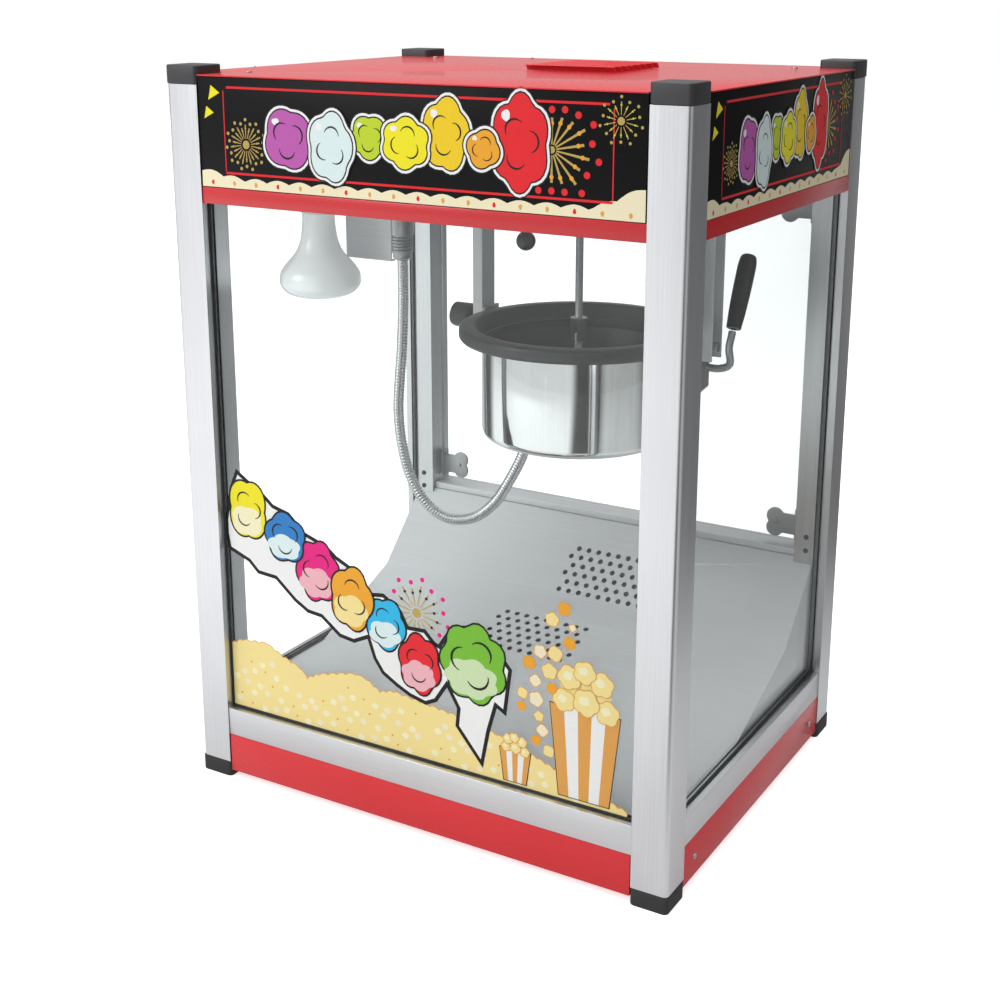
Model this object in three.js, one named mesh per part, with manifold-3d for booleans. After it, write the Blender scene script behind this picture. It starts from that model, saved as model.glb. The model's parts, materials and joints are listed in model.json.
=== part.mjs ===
// A tabletop popcorn machine with a glazed cabinet, a tilting kettle that hangs from the header,
// a sloped popcorn deck and two clear doors on the operator's side.
// Millimetres. +X is to the right along the customer's side, +Y points to the operator's side, +Z is up.
// The origin is on the table, under the middle of the cabinet.
import * as THREE from "three";
import { mergeVertices } from "three/addons/utils/BufferGeometryUtils.js";
import Module from "manifold-3d";

const wasm = await Module();
wasm.setup();

// ---------------------------------------------------------------- driving dimensions
const WIDTH = 560;
const DEPTH = 450;
const HEIGHT = 760;
const GAP = 0.3; // between pieces that touch
const RUNNING_GAP = 0.5; // between a pin and its hole

// corner posts, their top caps and their feet
const POST_SIZE = 38;
const POST_CORNER_RADIUS = 5;
const POST_SLOT_DEPTH = 7;
const POST_WALL = 2;
const CAP_PROUD = 0.8; // caps and feet stand this far outside the posts
const CAP_HEIGHT = 18;
const FOOT_HEIGHT = 17.5;

// glass
const GLASS_THICKNESS = 4;
const GLASS_PLAY = 0.5; // each side of a pane in its slot
const GLASS_INSET = 10; // from a post's outer face to a pane's outer face
const GLASS_GRIP = 6; // how far a pane's edges go into the posts

// base
const BASE_CLEARANCE = 8; // under the tray
const BASE_WALL_HEIGHT = 43;
const BASE_SHEET = 1.2;
const PANEL_RECESS = 1; // side faces stand this far inside the posts' faces
const RAIL_HEIGHT = 30.5;
const RAIL_DEPTH = 17;
const RAIL_SLOT_DEPTH = 8;

// header
const COVER_DROP = 8.5; // from the caps' top to the cover's top
const COVER_SHEET = 1.2;
const COVER_FLANGE = 10;
const SIGN_HEIGHT = 106;
const SIGN_SHEET = 2;
const TRIM_HEIGHT = 16.5;
const TRIM_THICKNESS = 7;
const TRIM_TIE = 8; // width of the flange that ties the trim together inside each post
const TRIM_TIE_SHEET = 2.5;
const CEILING_SHEET = 1;
const VENT_COUNT = 8;
const VENT_LENGTH = 96;
const VENT_WIDTH = 6;
const VENT_PITCH = 14;
const VENT_CENTRE = [50, 45];

// operator's side: sill, lower panel and doors
const SILL_HEIGHT = 222;
const SILL_DEPTH = 32;
const SILL_SHEET = 1.5;
const SILL_FRONT_LIP = 8;
const SILL_REAR_LIP = 15;
const REAR_PANEL_RECESS = 19;
const DOOR_THICKNESS = 4;
const DOOR_INSET = 15; // from the posts' outer faces to the doors' middle plane
const DOOR_GAP = 3; // under, over and between the doors
const HINGE_INSET = 5; // from a post's inner face to a door's axis
const HINGE_RADIUS = 4;
const HINGE_HEIGHT = 34;
const HINGE_LEAF = 36;
const HINGE_SHEET = 3;
const HINGE_FROM_EDGE = 3; // from a door's end to the nearer end of its hinge
const KNOB_RADIUS = 8;
const KNOB_LENGTH = 13;
const KNOB_FROM_EDGE = 26;
const KNOB_HEIGHT = 150; // over the door's lower edge

// popcorn deck
const DECK_SHEET = 1.2;
const DECK_SIDE_GAP = 2.5; // between the deck and the side glass
const SLOPE_RUN = 80;
const SLOPE_DROP = 81;
const RAMP_RUN = 135;
const HOLE_RADIUS = 3.3;
const HOLE_PITCH = 13;
const HOLE_ROW_PITCH = 11;
const HOLE_ROWS = 6;
const HOLE_COLUMNS = 9;
const SLOPE_HOLES_X = 32;
const RAMP_HOLES_X = -20;

// crumb drawer
const DRAWER_WIDTH = 300;
const DRAWER_HEIGHT = 32;
const DRAWER_LENGTH = 380;
const DRAWER_SHEET = 1.2;
const DRAWER_PLAY = 1.5;
const DRAWER_FACE_OVERLAP = 6;
const DRAWER_SLOT = [64, 14];

// lamp
const LAMP_POSITION = [-170, -130];
const SOCKET_RADIUS = 21;
const SOCKET_LENGTH = 32;
const BULB_RADIUS = 41.5;
const BULB_NECK_RADIUS = 16.5;
const BULB_LENGTH = 87;
const SHIELD_WIDTH = 57;
const SHIELD_HEIGHT = 84;
const SHIELD_SHEET = 1.5;
const SHIELD_FLANGE = 18;
const SHIELD_GAP = 2; // behind the bulb

// kettle
const KETTLE_POSITION = [62, 0];
const RIM_DROP = 147; // from the ceiling to the rim's top
const KETTLE_HEIGHT = 118;
const SHELL_RADIUS = 100;
const SHELL_SHEET = 1.5;
const SHELL_DROP = 16; // from the rim's top to the shell's top edge
const SHELL_CORNER = 9;
const POT_CLEARANCE = 2; // between the pot's wall and the shell's inside
const POT_SHEET = 4;
const RIM_OVERHANG = 24; // the rim stands this far outside the shell
const RIM_WIDTH = 17; // from the mouth to the rim's edge
const RIM_THICKNESS = 14;
const HEATER_INSET = 12.5; // from the pot's wall to the heater's edge
const HEATER_THICKNESS = 9;
const PIVOT_BEHIND = 33; // from the kettle's middle to its tilting axis
const PIVOT_BELOW = 15; // from the rim's top to the tilting axis
const PIVOT_RADIUS = 5;
const BRACKET_SHEET = 3;
const BRACKET_WIDTH = 30;
const BRACKET_ABOVE = 16; // from the tilting axis to a bracket's top
const RIM_CLEARANCE = 1;
const NUT_RADIUS = 12;
const NUT_LENGTH = 28;
const NUT_STANDOFF = 4; // from the hanger to the nut
const PIN_PROUD = 2; // past the right hanger
const CONDUIT_GLAND = [-64, 0]; // from the kettle's middle
const CONDUIT_GLAND_LENGTH = 21.5;
const CONDUIT_GLAND_RADIUS = 11;

// hangers
const HANGER_WIDTH = 26;
const HANGER_DEPTH = 12;
const HANGER_SHEET = 2;
const HANGER_BELOW = 13; // from the tilting axis to a hanger's lower end
const HANGER_CLEARANCE = 1.5; // between a hanger and a kettle bracket

// handle
const HANDLE_ROD_RADIUS = 4;
const HANDLE_START = [9, -24]; // from the tilting axis, to the rear and up
const HANDLE_GRIP_START = [10, 17];
const HANDLE_GRIP_END = [47, 91];
const HANDLE_OUT = 25.8; // from the bracket's outer face to the grip's middle
const GRIP_RADIUS = 9.5;

// stirring drive
const SHAFT_RADIUS = 4;
const COUPLING_RADIUS = 9;
const COUPLING_LENGTH = 23;
const COUPLING_BELOW = 16; // from the rim's top to the coupling's lower end
const TONGUE_THICKNESS = 3;
const TONGUE_WIDTH = 12;
const TONGUE_LENGTH = 7;
const SLOT_LENGTH = 11;
const TONGUE_GAP = 4; // between the coupling and the shoulder under the tongue
const BLADE_CLEARANCE = 8.5; // from the blades' tips to the pot's wall
const BLADE_WIDTH = 13;
const BLADE_SHEET = 3;
const BLADE_GAP = 1.2;
const HUB_RADIUS = 10;
const HUB_LENGTH = 15;
const GEARBOX = [86, 66, 42];
const MOTOR_RADIUS = 27;
const MOTOR_LENGTH = 38;

// pull knob under the header
const PULL_OFFSET = [-46, -30]; // from the kettle's middle
const PULL_ROD_RADIUS = 3;
const PULL_ROD_DROP = 50;
const PULL_BALL_RADIUS = 10;
const PULL_TRAVEL = 12;

// conduit from the header to the kettle
const CONDUIT_DIAMETER = 12;
const CONNECTOR_RADIUS = 13;
const CONNECTOR_LENGTH = 83;
const CONNECTOR_NECK = 15.4; // below the connector's body, down to the conduit's end
const CONNECTOR_COLLAR = 15;
const CONNECTOR_COLLAR_RADIUS = 15.5;
const CONDUIT_ROUTE = [
  [-157, 2, 545],
  [-157, 2, 520],
  [-157.5, 2, 490],
  [-160, 2, 445],
  [-164, 2, 405],
  [-166, 2, 370],
  [-162, 2, 332],
  [-150.5, 1.8, 295],
  [-128.5, 1.6, 266.5],
  [-99.5, 1.3, 255],
  [-66, 1, 262.5],
  [-39, 0.7, 285],
  [-20.5, 0.4, 313],
  [-8, 0.1, 336],
  [-2.6, 0, 349],
  [-2, 0, 356.2],
];

// controls and mains inlet on the operator's side
const SWITCH_COUNT = 3;
const SWITCH_PITCH = 44;
const SWITCH_X = 120;
const SWITCH_HEIGHT = 140; // over the table
const ROCKER_WIDTH = 14;
const ROCKER_LENGTH = 23;
const ROCKER_PLAY = 1.5;
const ROCKER_TIP = 10; // degrees each way from its middle
const GLAND_X = -190;
const GLAND_HEIGHT = 86; // over the table
const GLAND_RADIUS = 9;
const GLAND_LENGTH = 15;

// ---------------------------------------------------------------- levels and faces that follow from them
const outX = WIDTH / 2 - CAP_PROUD; // posts' outer faces
const outY = DEPTH / 2 - CAP_PROUD;
const inX = outX - POST_SIZE; // posts' inner faces
const inY = outY - POST_SIZE;
const capSize = POST_SIZE + 2 * CAP_PROUD;
const spanX = WIDTH / 2 - capSize - GAP; // half length of what stands between two feet or caps
const spanY = DEPTH / 2 - capSize - GAP;
const betweenX = inX - GAP; // half length of what stands between two posts
const betweenY = inY - GAP;
const faceX = outX - PANEL_RECESS;
const faceY = outY - PANEL_RECESS;
const glassX = outX - GLASS_INSET - GLASS_THICKNESS / 2; // panes' middle planes
const glassY = outY - GLASS_INSET - GLASS_THICKNESS / 2;
const slotWidth = GLASS_THICKNESS + 2 * GLASS_PLAY;

const baseTop = BASE_CLEARANCE + BASE_WALL_HEIGHT;
const railBottom = baseTop + GAP;
const railTop = railBottom + RAIL_HEIGHT;
const capBottom = HEIGHT - CAP_HEIGHT;
const coverTop = HEIGHT - COVER_DROP;
const coverBottom = coverTop - COVER_SHEET;
const signTop = coverBottom - GAP;
const signBottom = signTop - SIGN_HEIGHT;
const trimTop = signBottom - GAP;
const trimBottom = trimTop - TRIM_HEIGHT;
const tieBottom = trimTop - TRIM_TIE_SHEET;
const ceilingBottom = trimTop + GAP;
const ceilingTop = ceilingBottom + CEILING_SHEET;
const hangFrom = ceilingBottom - GAP; // top of everything fixed under the ceiling
const floorTop = railTop - 1.5;
const doorY = outY - DOOR_INSET;
const doorBottom = SILL_HEIGHT + DOOR_GAP;
const doorTop = trimBottom - DOOR_GAP;
const hingeX = inX - HINGE_INSET;
const sillRear = outY - 1;
const sillFront = sillRear - SILL_DEPTH;
const rearPanelY = outY - REAR_PANEL_RECESS;

const rimTop = ceilingBottom - RIM_DROP;
const kettleBottom = rimTop - KETTLE_HEIGHT;
const shellTop = rimTop - SHELL_DROP;
const rimRadius = SHELL_RADIUS + RIM_OVERHANG;
const mouthRadius = rimRadius - RIM_WIDTH;
const pivotY = KETTLE_POSITION[1] + PIVOT_BEHIND;
const pivotZ = rimTop - PIVOT_BELOW;
// the brackets stand where the round rim is already narrower, and are measured from the kettle's middle
const bracketFront = PIVOT_BEHIND - BRACKET_WIDTH / 2;
const bracketInner = Math.sqrt(rimRadius ** 2 - bracketFront ** 2) + RIM_CLEARANCE;
const bracketOuter = bracketInner + BRACKET_SHEET;
const hangerInner = bracketOuter + HANGER_CLEARANCE;
const hangerOuter = hangerInner + HANGER_DEPTH;
const potRadius = SHELL_RADIUS - SHELL_SHEET - POT_CLEARANCE;
const bladeLength = potRadius - POT_SHEET - BLADE_CLEARANCE;
const heaterRadius = potRadius - HEATER_INSET;
const potFloor = kettleBottom + SHELL_SHEET + HEATER_THICKNESS + POT_SHEET + 3 * GAP;
const couplingBottom = rimTop - COUPLING_BELOW;

// ---------------------------------------------------------------- materials
function finish(color, roughness, metalness) {
  return new THREE.MeshStandardMaterial({ color, roughness, metalness });
}

const aluminium = finish(0xd6d8da, 0.35, 0.9);
const blackPlastic = finish(0x2b2b2e, 0.45, 0);
const blackRubber = finish(0x1c1c1e, 0.8, 0);
const redPaint = finish(0xe0323c, 0.35, 0.1);
const signBlack = finish(0x151515, 0.3, 0);
const stainless = finish(0xb9bcc0, 0.3, 0.9);
const polishedSteel = finish(0xe2e4e6, 0.08, 1);
const nonStick = finish(0x37393b, 0.5, 0.2);
const clearGlass = new THREE.MeshStandardMaterial({
  color: 0xe8f4f2,
  roughness: 0.05,
  transparent: true,
  opacity: 0.18,
});
const clearAcrylic = new THREE.MeshStandardMaterial({
  color: 0xf2f6f8,
  roughness: 0.1,
  transparent: true,
  opacity: 0.25,
});
const frosted = finish(0xe9eef0, 0.45, 0);
const castMetal = finish(0x8c8f92, 0.4, 0.8);
const whitePlastic = finish(0xe8e8e4, 0.5, 0);
const brass = finish(0xb89a55, 0.3, 0.9);
const steelHose = finish(0xc4c6c8, 0.3, 0.9);
const switchRed = finish(0xc62026, 0.3, 0);

// ---------------------------------------------------------------- shape helpers
function solid(geometry) {
  const bare = geometry.clone();
  bare.deleteAttribute("normal");
  bare.deleteAttribute("uv");
  const merged = mergeVertices(bare, 1e-4);
  const vertProperties = merged.attributes.position.array;
  return new wasm.Manifold(
    new wasm.Mesh({ numProp: 3, vertProperties, triVerts: new Uint32Array(merged.index.array) }),
  );
}

function geometryOf(manifold) {
  const mesh = manifold.getMesh();
  const geometry = new THREE.BufferGeometry();
  geometry.setAttribute("position", new THREE.BufferAttribute(mesh.vertProperties, 3));
  geometry.setIndex(new THREE.BufferAttribute(mesh.triVerts, 1));
  geometry.computeVertexNormals();
  return geometry;
}

const join = (...parts) => geometryOf(parts.map(solid).reduce((a, b) => a.add(b)));
const cut = (body, ...tools) => geometryOf(tools.map(solid).reduce((a, b) => a.subtract(b), solid(body)));

// A box from its lowest corner to its highest.
function block([x0, y0, z0], [x1, y1, z1]) {
  const box = new THREE.BoxGeometry(x1 - x0, y1 - y0, z1 - z0);
  return box.translate((x0 + x1) / 2, (y0 + y1) / 2, (z0 + z1) / 2);
}

const outlineOf = (points) => new THREE.Shape(points.map(([u, v]) => new THREE.Vector2(u, v)));
const extruded = (shape, depth, curveSegments = 4) =>
  new THREE.ExtrudeGeometry(shape, { depth, bevelEnabled: false, curveSegments });

// Prisms: an outline in the plane across an axis, drawn out along that axis.
const X = new THREE.Vector3(1, 0, 0);
const Y = new THREE.Vector3(0, 1, 0);
const Z = new THREE.Vector3(0, 0, 1);
const prismZ = (shape, z0, z1, segments) => extruded(shape, z1 - z0, segments).translate(0, 0, z0);

function prismX(shape, x0, x1, segments) {
  const turned = new THREE.Matrix4().makeBasis(Y, Z, X);
  return extruded(shape, x1 - x0, segments).applyMatrix4(turned).translate(x0, 0, 0);
}

function prismY(shape, y0, y1, segments) {
  const turned = new THREE.Matrix4().makeBasis(X, Z, Y.clone().negate());
  return extruded(shape, y1 - y0, segments).applyMatrix4(turned).translate(0, y1, 0);
}

// A round bar along an axis, from one place on it to another, about a centre line.
function bar(axis, radius, from, to, [a, b], sides = 24) {
  const cylinder = new THREE.CylinderGeometry(radius, radius, to - from, sides);
  const middle = (from + to) / 2;
  if (axis === "x") return cylinder.rotateZ(Math.PI / 2).translate(middle, a, b);
  if (axis === "y") return cylinder.translate(a, middle, b);
  return cylinder.rotateX(Math.PI / 2).translate(a, b, middle);
}

// A turned shape about the Z axis from its profile of [radius, height] points.
function turned(profile, sides = 40) {
  const points = profile.map(([r, z]) => new THREE.Vector2(r, z));
  return new THREE.LatheGeometry(points, sides).rotateX(Math.PI / 2);
}

function roundedRectangle(x0, y0, x1, y1, radius) {
  const shape = new THREE.Shape();
  shape.moveTo(x0 + radius, y0);
  shape.lineTo(x1 - radius, y0);
  shape.absarc(x1 - radius, y0 + radius, radius, -Math.PI / 2, 0);
  shape.absarc(x1 - radius, y1 - radius, radius, 0, Math.PI / 2);
  shape.absarc(x0 + radius, y1 - radius, radius, Math.PI / 2, Math.PI);
  shape.absarc(x0 + radius, y0 + radius, radius, Math.PI, 1.5 * Math.PI);
  return shape;
}

// A tube of the given section radius along a smooth curve through some points.
function tube(points, radius, sides, steps) {
  const circle = Array.from({ length: sides }, (_, i) => {
    const angle = (2 * Math.PI * i) / sides;
    return [radius * Math.cos(angle), radius * Math.sin(angle)];
  });
  const curve = new THREE.CatmullRomCurve3(points.map((p) => new THREE.Vector3(...p)));
  return new THREE.ExtrudeGeometry(outlineOf(circle), { steps, bevelEnabled: false, extrudePath: curve });
}

const machine = new THREE.Group();

function add(name, geometry, material, position = [0, 0, 0], parent = machine) {
  const mesh = new THREE.Mesh(geometry, material);
  mesh.name = name;
  mesh.position.set(...position);
  parent.add(mesh);
  return mesh;
}

// The four corners: [name, side in X, side in Y].
const corners = [
  ["front_left", -1, -1],
  ["front_right", 1, -1],
  ["rear_left", -1, 1],
  ["rear_right", 1, 1],
];

// ---------------------------------------------------------------- frame
// One section serves all four posts: a rounded outer corner and a glazing slot in each inner face.
// It is drawn for the rear right post, and the side signs carry it to the others.
function postOutline(sx, sy) {
  const slot = (middle) => [middle - slotWidth / 2, middle + slotWidth / 2];
  const [ya, yb] = slot(glassY);
  const [xa, xb] = slot(glassX);
  const arc = Array.from({ length: 5 }, (_, i) => {
    const angle = (Math.PI / 2) * (i / 4);
    const middleX = outX - POST_CORNER_RADIUS;
    const middleY = outY - POST_CORNER_RADIUS;
    return [middleX + POST_CORNER_RADIUS * Math.cos(angle), middleY + POST_CORNER_RADIUS * Math.sin(angle)];
  });
  const points = [
    [inX, inY],
    [xa, inY],
    [xa, inY + POST_SLOT_DEPTH],
    [xb, inY + POST_SLOT_DEPTH],
    [xb, inY],
    [outX, inY],
    ...arc,
    [inX, outY],
    [inX, yb],
    [inX + POST_SLOT_DEPTH, yb],
    [inX + POST_SLOT_DEPTH, ya],
    [inX, ya],
  ];
  const outline = outlineOf(points.map(([x, y]) => [sx * x, sy * y]));
  outline.holes.push(postHollow(sx, sy));
  return outline;
}

// The hollow of a post lies between its glazing slots and its two outer walls.
function postHollow(sx, sy) {
  const near = POST_SLOT_DEPTH + POST_WALL;
  const [x0, x1] = [sx * (inX + near), sx * (outX - POST_WALL)].sort((a, b) => a - b);
  const [y0, y1] = [sy * (inY + near), sy * (outY - POST_WALL)].sort((a, b) => a - b);
  return roundedRectangle(x0, y0, x1, y1, POST_CORNER_RADIUS - POST_WALL);
}

function cornerBlock(sx, sy, z0, z1) {
  const x = sx * (WIDTH / 2 - capSize / 2);
  const y = sy * (DEPTH / 2 - capSize / 2);
  const half = capSize / 2;
  return prismZ(roundedRectangle(x - half, y - half, x + half, y + half, POST_CORNER_RADIUS), z0, z1, 3);
}

function buildFrame() {
  for (const [corner, sx, sy] of corners) {
    const post = prismZ(postOutline(sx, sy), FOOT_HEIGHT + GAP, capBottom - GAP);
    add(`post_${corner}`, post, aluminium);
    add(`post_cap_${corner}`, cornerBlock(sx, sy, capBottom, HEIGHT), blackPlastic);
    add(`foot_${corner}`, cornerBlock(sx, sy, 0, FOOT_HEIGHT), blackRubber);
  }
}

// ---------------------------------------------------------------- base
// The tray is one folded sheet: a floor notched round the feet, and four walls that stand on it.
function baseTray() {
  const z0 = BASE_CLEARANCE;
  const rearWall = outY - PANEL_RECESS - DRAWER_SHEET - 2 * GAP;
  const floorPlate = join(
    block([-faceX, -spanY, z0], [faceX, spanY, z0 + BASE_SHEET]),
    block([-spanX, -faceY, z0], [spanX, rearWall, z0 + BASE_SHEET]),
  );
  const walls = [
    block([-spanX, -faceY, z0], [spanX, -faceY + BASE_SHEET, baseTop]),
    block([-spanX, rearWall - BASE_SHEET, z0], [spanX, rearWall, baseTop]),
    block([-faceX, -spanY, z0], [-faceX + BASE_SHEET, spanY, baseTop]),
    block([faceX - BASE_SHEET, -spanY, z0], [faceX, spanY, baseTop]),
  ];
  const half = DRAWER_WIDTH / 2 + DRAWER_PLAY;
  const drawerTop = z0 + BASE_SHEET + DRAWER_HEIGHT + 2 * DRAWER_PLAY;
  const doorway = block(
    [-half, rearWall - 2 * BASE_SHEET, z0 + BASE_SHEET + GAP],
    [half, rearWall + 1, drawerTop],
  );
  return cut(join(floorPlate, ...walls), doorway);
}

// A rail carries the lower edge of a pane in a slot along its top.
function railOutline(face, pane) {
  const away = Math.sign(face);
  const back = face - away * RAIL_DEPTH;
  const slotFloor = railTop - RAIL_SLOT_DEPTH;
  const slotOuter = pane + (away * slotWidth) / 2;
  const slotInner = pane - (away * slotWidth) / 2;
  return outlineOf([
    [face, railBottom],
    [face, railTop],
    [slotOuter, railTop],
    [slotOuter, slotFloor],
    [slotInner, slotFloor],
    [slotInner, railTop - 3],
    [back, railTop - 3],
    [back, railBottom],
  ]);
}

function buildBase() {
  add("base_tray", baseTray(), redPaint);
  add("glass_rail_front", prismX(railOutline(-faceY, -glassY), -betweenX, betweenX), aluminium);
  for (const [side, s] of [["left", -1], ["right", 1]]) {
    const rail = prismY(railOutline(s * faceX, s * glassX), -betweenY, betweenY);
    add(`glass_rail_${side}`, rail, aluminium);
  }
}

// ---------------------------------------------------------------- glass
function buildGlass() {
  const bottom = railTop - RAIL_SLOT_DEPTH + GLASS_PLAY;
  const top = tieBottom - GLASS_PLAY;
  const halfX = inX + GLASS_GRIP;
  const halfY = inY + GLASS_GRIP;
  const half = GLASS_THICKNESS / 2;
  add("glass_front", block([-halfX, -glassY - half, bottom], [halfX, -glassY + half, top]), clearGlass);
  for (const [side, s] of [["left", -1], ["right", 1]]) {
    const middle = s * glassX;
    add(`glass_${side}`, block([middle - half, -halfY, bottom], [middle + half, halfY, top]), clearGlass);
  }
}

// ---------------------------------------------------------------- header
// A rectangle with its corners notched to leave room for the posts.
function notched(halfX, halfY, notchX, notchY) {
  return outlineOf([
    [-notchX, -halfY], [notchX, -halfY], [notchX, -notchY], [halfX, -notchY],
    [halfX, notchY], [notchX, notchY], [notchX, halfY], [-notchX, halfY],
    [-notchX, notchY], [-halfX, notchY], [-halfX, -notchY], [-notchX, -notchY],
  ]);
}

// Four bars, tied into one ring by a flange along their top that passes inside each post.
function trimRing() {
  const insideX = faceX - TRIM_THICKNESS;
  const insideY = faceY - TRIM_THICKNESS;
  const outer = notched(faceX, faceY, betweenX, betweenY);
  const inner = notched(insideX, insideY, betweenX - TRIM_TIE, betweenY - TRIM_TIE);
  const flange = cut(prismZ(outer, tieBottom, trimTop), prismZ(inner, tieBottom - 1, trimTop + 1));
  const bars = [-1, 1].flatMap((s) => {
    const [xa, xb] = [s * faceX, s * insideX].sort((a, b) => a - b);
    const [ya, yb] = [s * faceY, s * insideY].sort((a, b) => a - b);
    return [
      block([xa, -betweenY, trimBottom], [xb, betweenY, trimTop]),
      block([-betweenX, ya, trimBottom], [betweenX, yb, trimTop]),
    ];
  });
  return join(flange, ...bars);
}

function topCover() {
  const edge = capSize + GAP;
  const notchX = WIDTH / 2 - edge;
  const notchY = DEPTH / 2 - edge;
  const sheet = prismZ(notched(outX, outY, notchX, notchY), coverBottom, coverTop);
  const flangeX = faceX - SIGN_SHEET - 2 * GAP;
  const flangeY = faceY - SIGN_SHEET - 2 * GAP;
  const low = coverBottom - COVER_FLANGE;
  const high = coverBottom + COVER_SHEET / 2;
  const flanges = [-1, 1].flatMap((s) => {
    const [xa, xb] = [s * flangeX, s * (flangeX - COVER_SHEET)].sort((a, b) => a - b);
    const [ya, yb] = [s * flangeY, s * (flangeY - COVER_SHEET)].sort((a, b) => a - b);
    return [
      block([xa, -notchY + 2, low], [xb, notchY - 2, high]),
      block([-notchX + 2, ya, low], [notchX - 2, yb, high]),
    ];
  });
  const first = VENT_CENTRE[1] - ((VENT_COUNT - 1) * VENT_PITCH) / 2;
  const vents = Array.from({ length: VENT_COUNT }, (_, i) => {
    const y = first + i * VENT_PITCH;
    const half = VENT_LENGTH / 2;
    return block(
      [VENT_CENTRE[0] - half, y - VENT_WIDTH / 2, coverBottom - 1],
      [VENT_CENTRE[0] + half, y + VENT_WIDTH / 2, coverTop + 1],
    );
  });
  return cut(join(sheet, ...flanges), ...vents);
}

function ceilingPlate() {
  const sheet = notched(faceX - SIGN_SHEET - GAP, faceY - SIGN_SHEET - GAP, betweenX, betweenY);
  const [kx, ky] = KETTLE_POSITION;
  const through = (radius, x, y) => bar("z", radius, ceilingBottom - 1, ceilingTop + 1, [x, y], 16);
  return cut(
    prismZ(sheet, ceilingBottom, ceilingTop),
    through(SHAFT_RADIUS + 2 * RUNNING_GAP, kx, ky),
    through(PULL_ROD_RADIUS + RUNNING_GAP, kx + PULL_OFFSET[0], ky + PULL_OFFSET[1]),
  );
}

function buildHeader() {
  add("header_trim", trimRing(), redPaint);
  add("top_cover", topCover(), redPaint);
  add("ceiling_plate", ceilingPlate(), stainless);
  const plate = (lo, hi) => block([...lo, signBottom], [...hi, signTop]);
  add("sign_panel_front", plate([-spanX, -faceY], [spanX, -faceY + SIGN_SHEET]), signBlack);
  add("sign_panel_rear", plate([-spanX, faceY - SIGN_SHEET], [spanX, faceY]), signBlack);
  add("sign_panel_left", plate([-faceX, -spanY], [-faceX + SIGN_SHEET, spanY]), signBlack);
  add("sign_panel_right", plate([faceX - SIGN_SHEET, -spanY], [faceX, spanY]), signBlack);
}

// ---------------------------------------------------------------- popcorn deck
// A sheet that drops from the sill at a steep slope, runs down a shallow ramp and lies flat up to the
// front rail, with side cheeks under the slope and the ramp, and sifting holes in both.
const deckRear = sillFront - GAP;
const slopeTop = SILL_HEIGHT - SILL_FRONT_LIP - GAP;
const slopeFoot = [deckRear - SLOPE_RUN, slopeTop - SLOPE_DROP];
const rampFoot = [slopeFoot[0] - RAMP_RUN, floorTop];
const deckFront = -(faceY - RAIL_DEPTH - GAP);
const deckHalf = glassX - GLASS_THICKNESS / 2 - DECK_SIDE_GAP;

function deckSheet() {
  const top = [[deckFront, floorTop], rampFoot, slopeFoot, [deckRear, slopeTop]];
  const bottom = top.map(([y, z]) => [y, z - DECK_SHEET]).reverse();
  // a vertical drop measures less square to a steep sheet, so the slope's underside lies lower
  bottom[0] = [deckRear, slopeTop - 1.4 * DECK_SHEET];
  return prismX(outlineOf([...top, ...bottom]), -deckHalf, deckHalf);
}

function deckCheek(s) {
  const [x0, x1] = [s * deckHalf, s * (deckHalf - DECK_SHEET)].sort((a, b) => a - b);
  const low = floorTop - DECK_SHEET;
  return prismX(outlineOf([rampFoot, slopeFoot, [betweenY, slopeTop - deckRear + betweenY],
    [betweenY, low], [rampFoot[0], low]]), x0, x1);
}

// Staggered rows of holes, drilled square to the sheet between two of its folds.
function siftingHoles([y0, z0], [y1, z1], centreX, share) {
  const length = Math.hypot(y1 - y0, z1 - z0);
  const along = [(y1 - y0) / length, (z1 - z0) / length];
  const tilt = Math.atan2(z1 - z0, y1 - y0);
  const start = length * share - ((HOLE_ROWS - 1) * HOLE_ROW_PITCH) / 2;
  const holes = [];
  for (let row = 0; row < HOLE_ROWS; row += 1) {
    const reach = start + row * HOLE_ROW_PITCH;
    const shift = row % 2 ? HOLE_PITCH / 2 : 0;
    for (let column = 0; column < HOLE_COLUMNS; column += 1) {
      const x = centreX + (column - (HOLE_COLUMNS - 1) / 2) * HOLE_PITCH + shift - HOLE_PITCH / 4;
      const drill = new THREE.CylinderGeometry(HOLE_RADIUS, HOLE_RADIUS, 8, 8).rotateX(Math.PI / 2);
      holes.push(drill.rotateX(tilt).translate(x, y0 + along[0] * reach, z0 + along[1] * reach));
    }
  }
  return holes;
}

function popcornDeck() {
  const folded = join(deckSheet(), deckCheek(-1), deckCheek(1));
  const postRooms = corners.map(([, sx, sy]) => block(
    [Math.min(sx * betweenX, sx * WIDTH), Math.min(sy * betweenY, sy * DEPTH), 0],
    [Math.max(sx * betweenX, sx * WIDTH), Math.max(sy * betweenY, sy * DEPTH), HEIGHT],
  ));
  const slopeHoles = siftingHoles(slopeFoot, [deckRear, slopeTop], SLOPE_HOLES_X, 0.38);
  const rampHoles = siftingHoles(rampFoot, slopeFoot, RAMP_HOLES_X, 0.58);
  return cut(folded, ...postRooms, ...slopeHoles, ...rampHoles);
}

// ---------------------------------------------------------------- operator's side
function sillOutline() {
  const top = SILL_HEIGHT;
  const t = SILL_SHEET;
  return outlineOf([
    [sillFront, top - SILL_FRONT_LIP], [sillFront, top], [sillRear, top], [sillRear, top - SILL_REAR_LIP],
    [sillRear - t, top - SILL_REAR_LIP], [sillRear - t, top - t], [sillFront + t, top - t],
    [sillFront + t, top - SILL_FRONT_LIP],
  ]);
}

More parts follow.
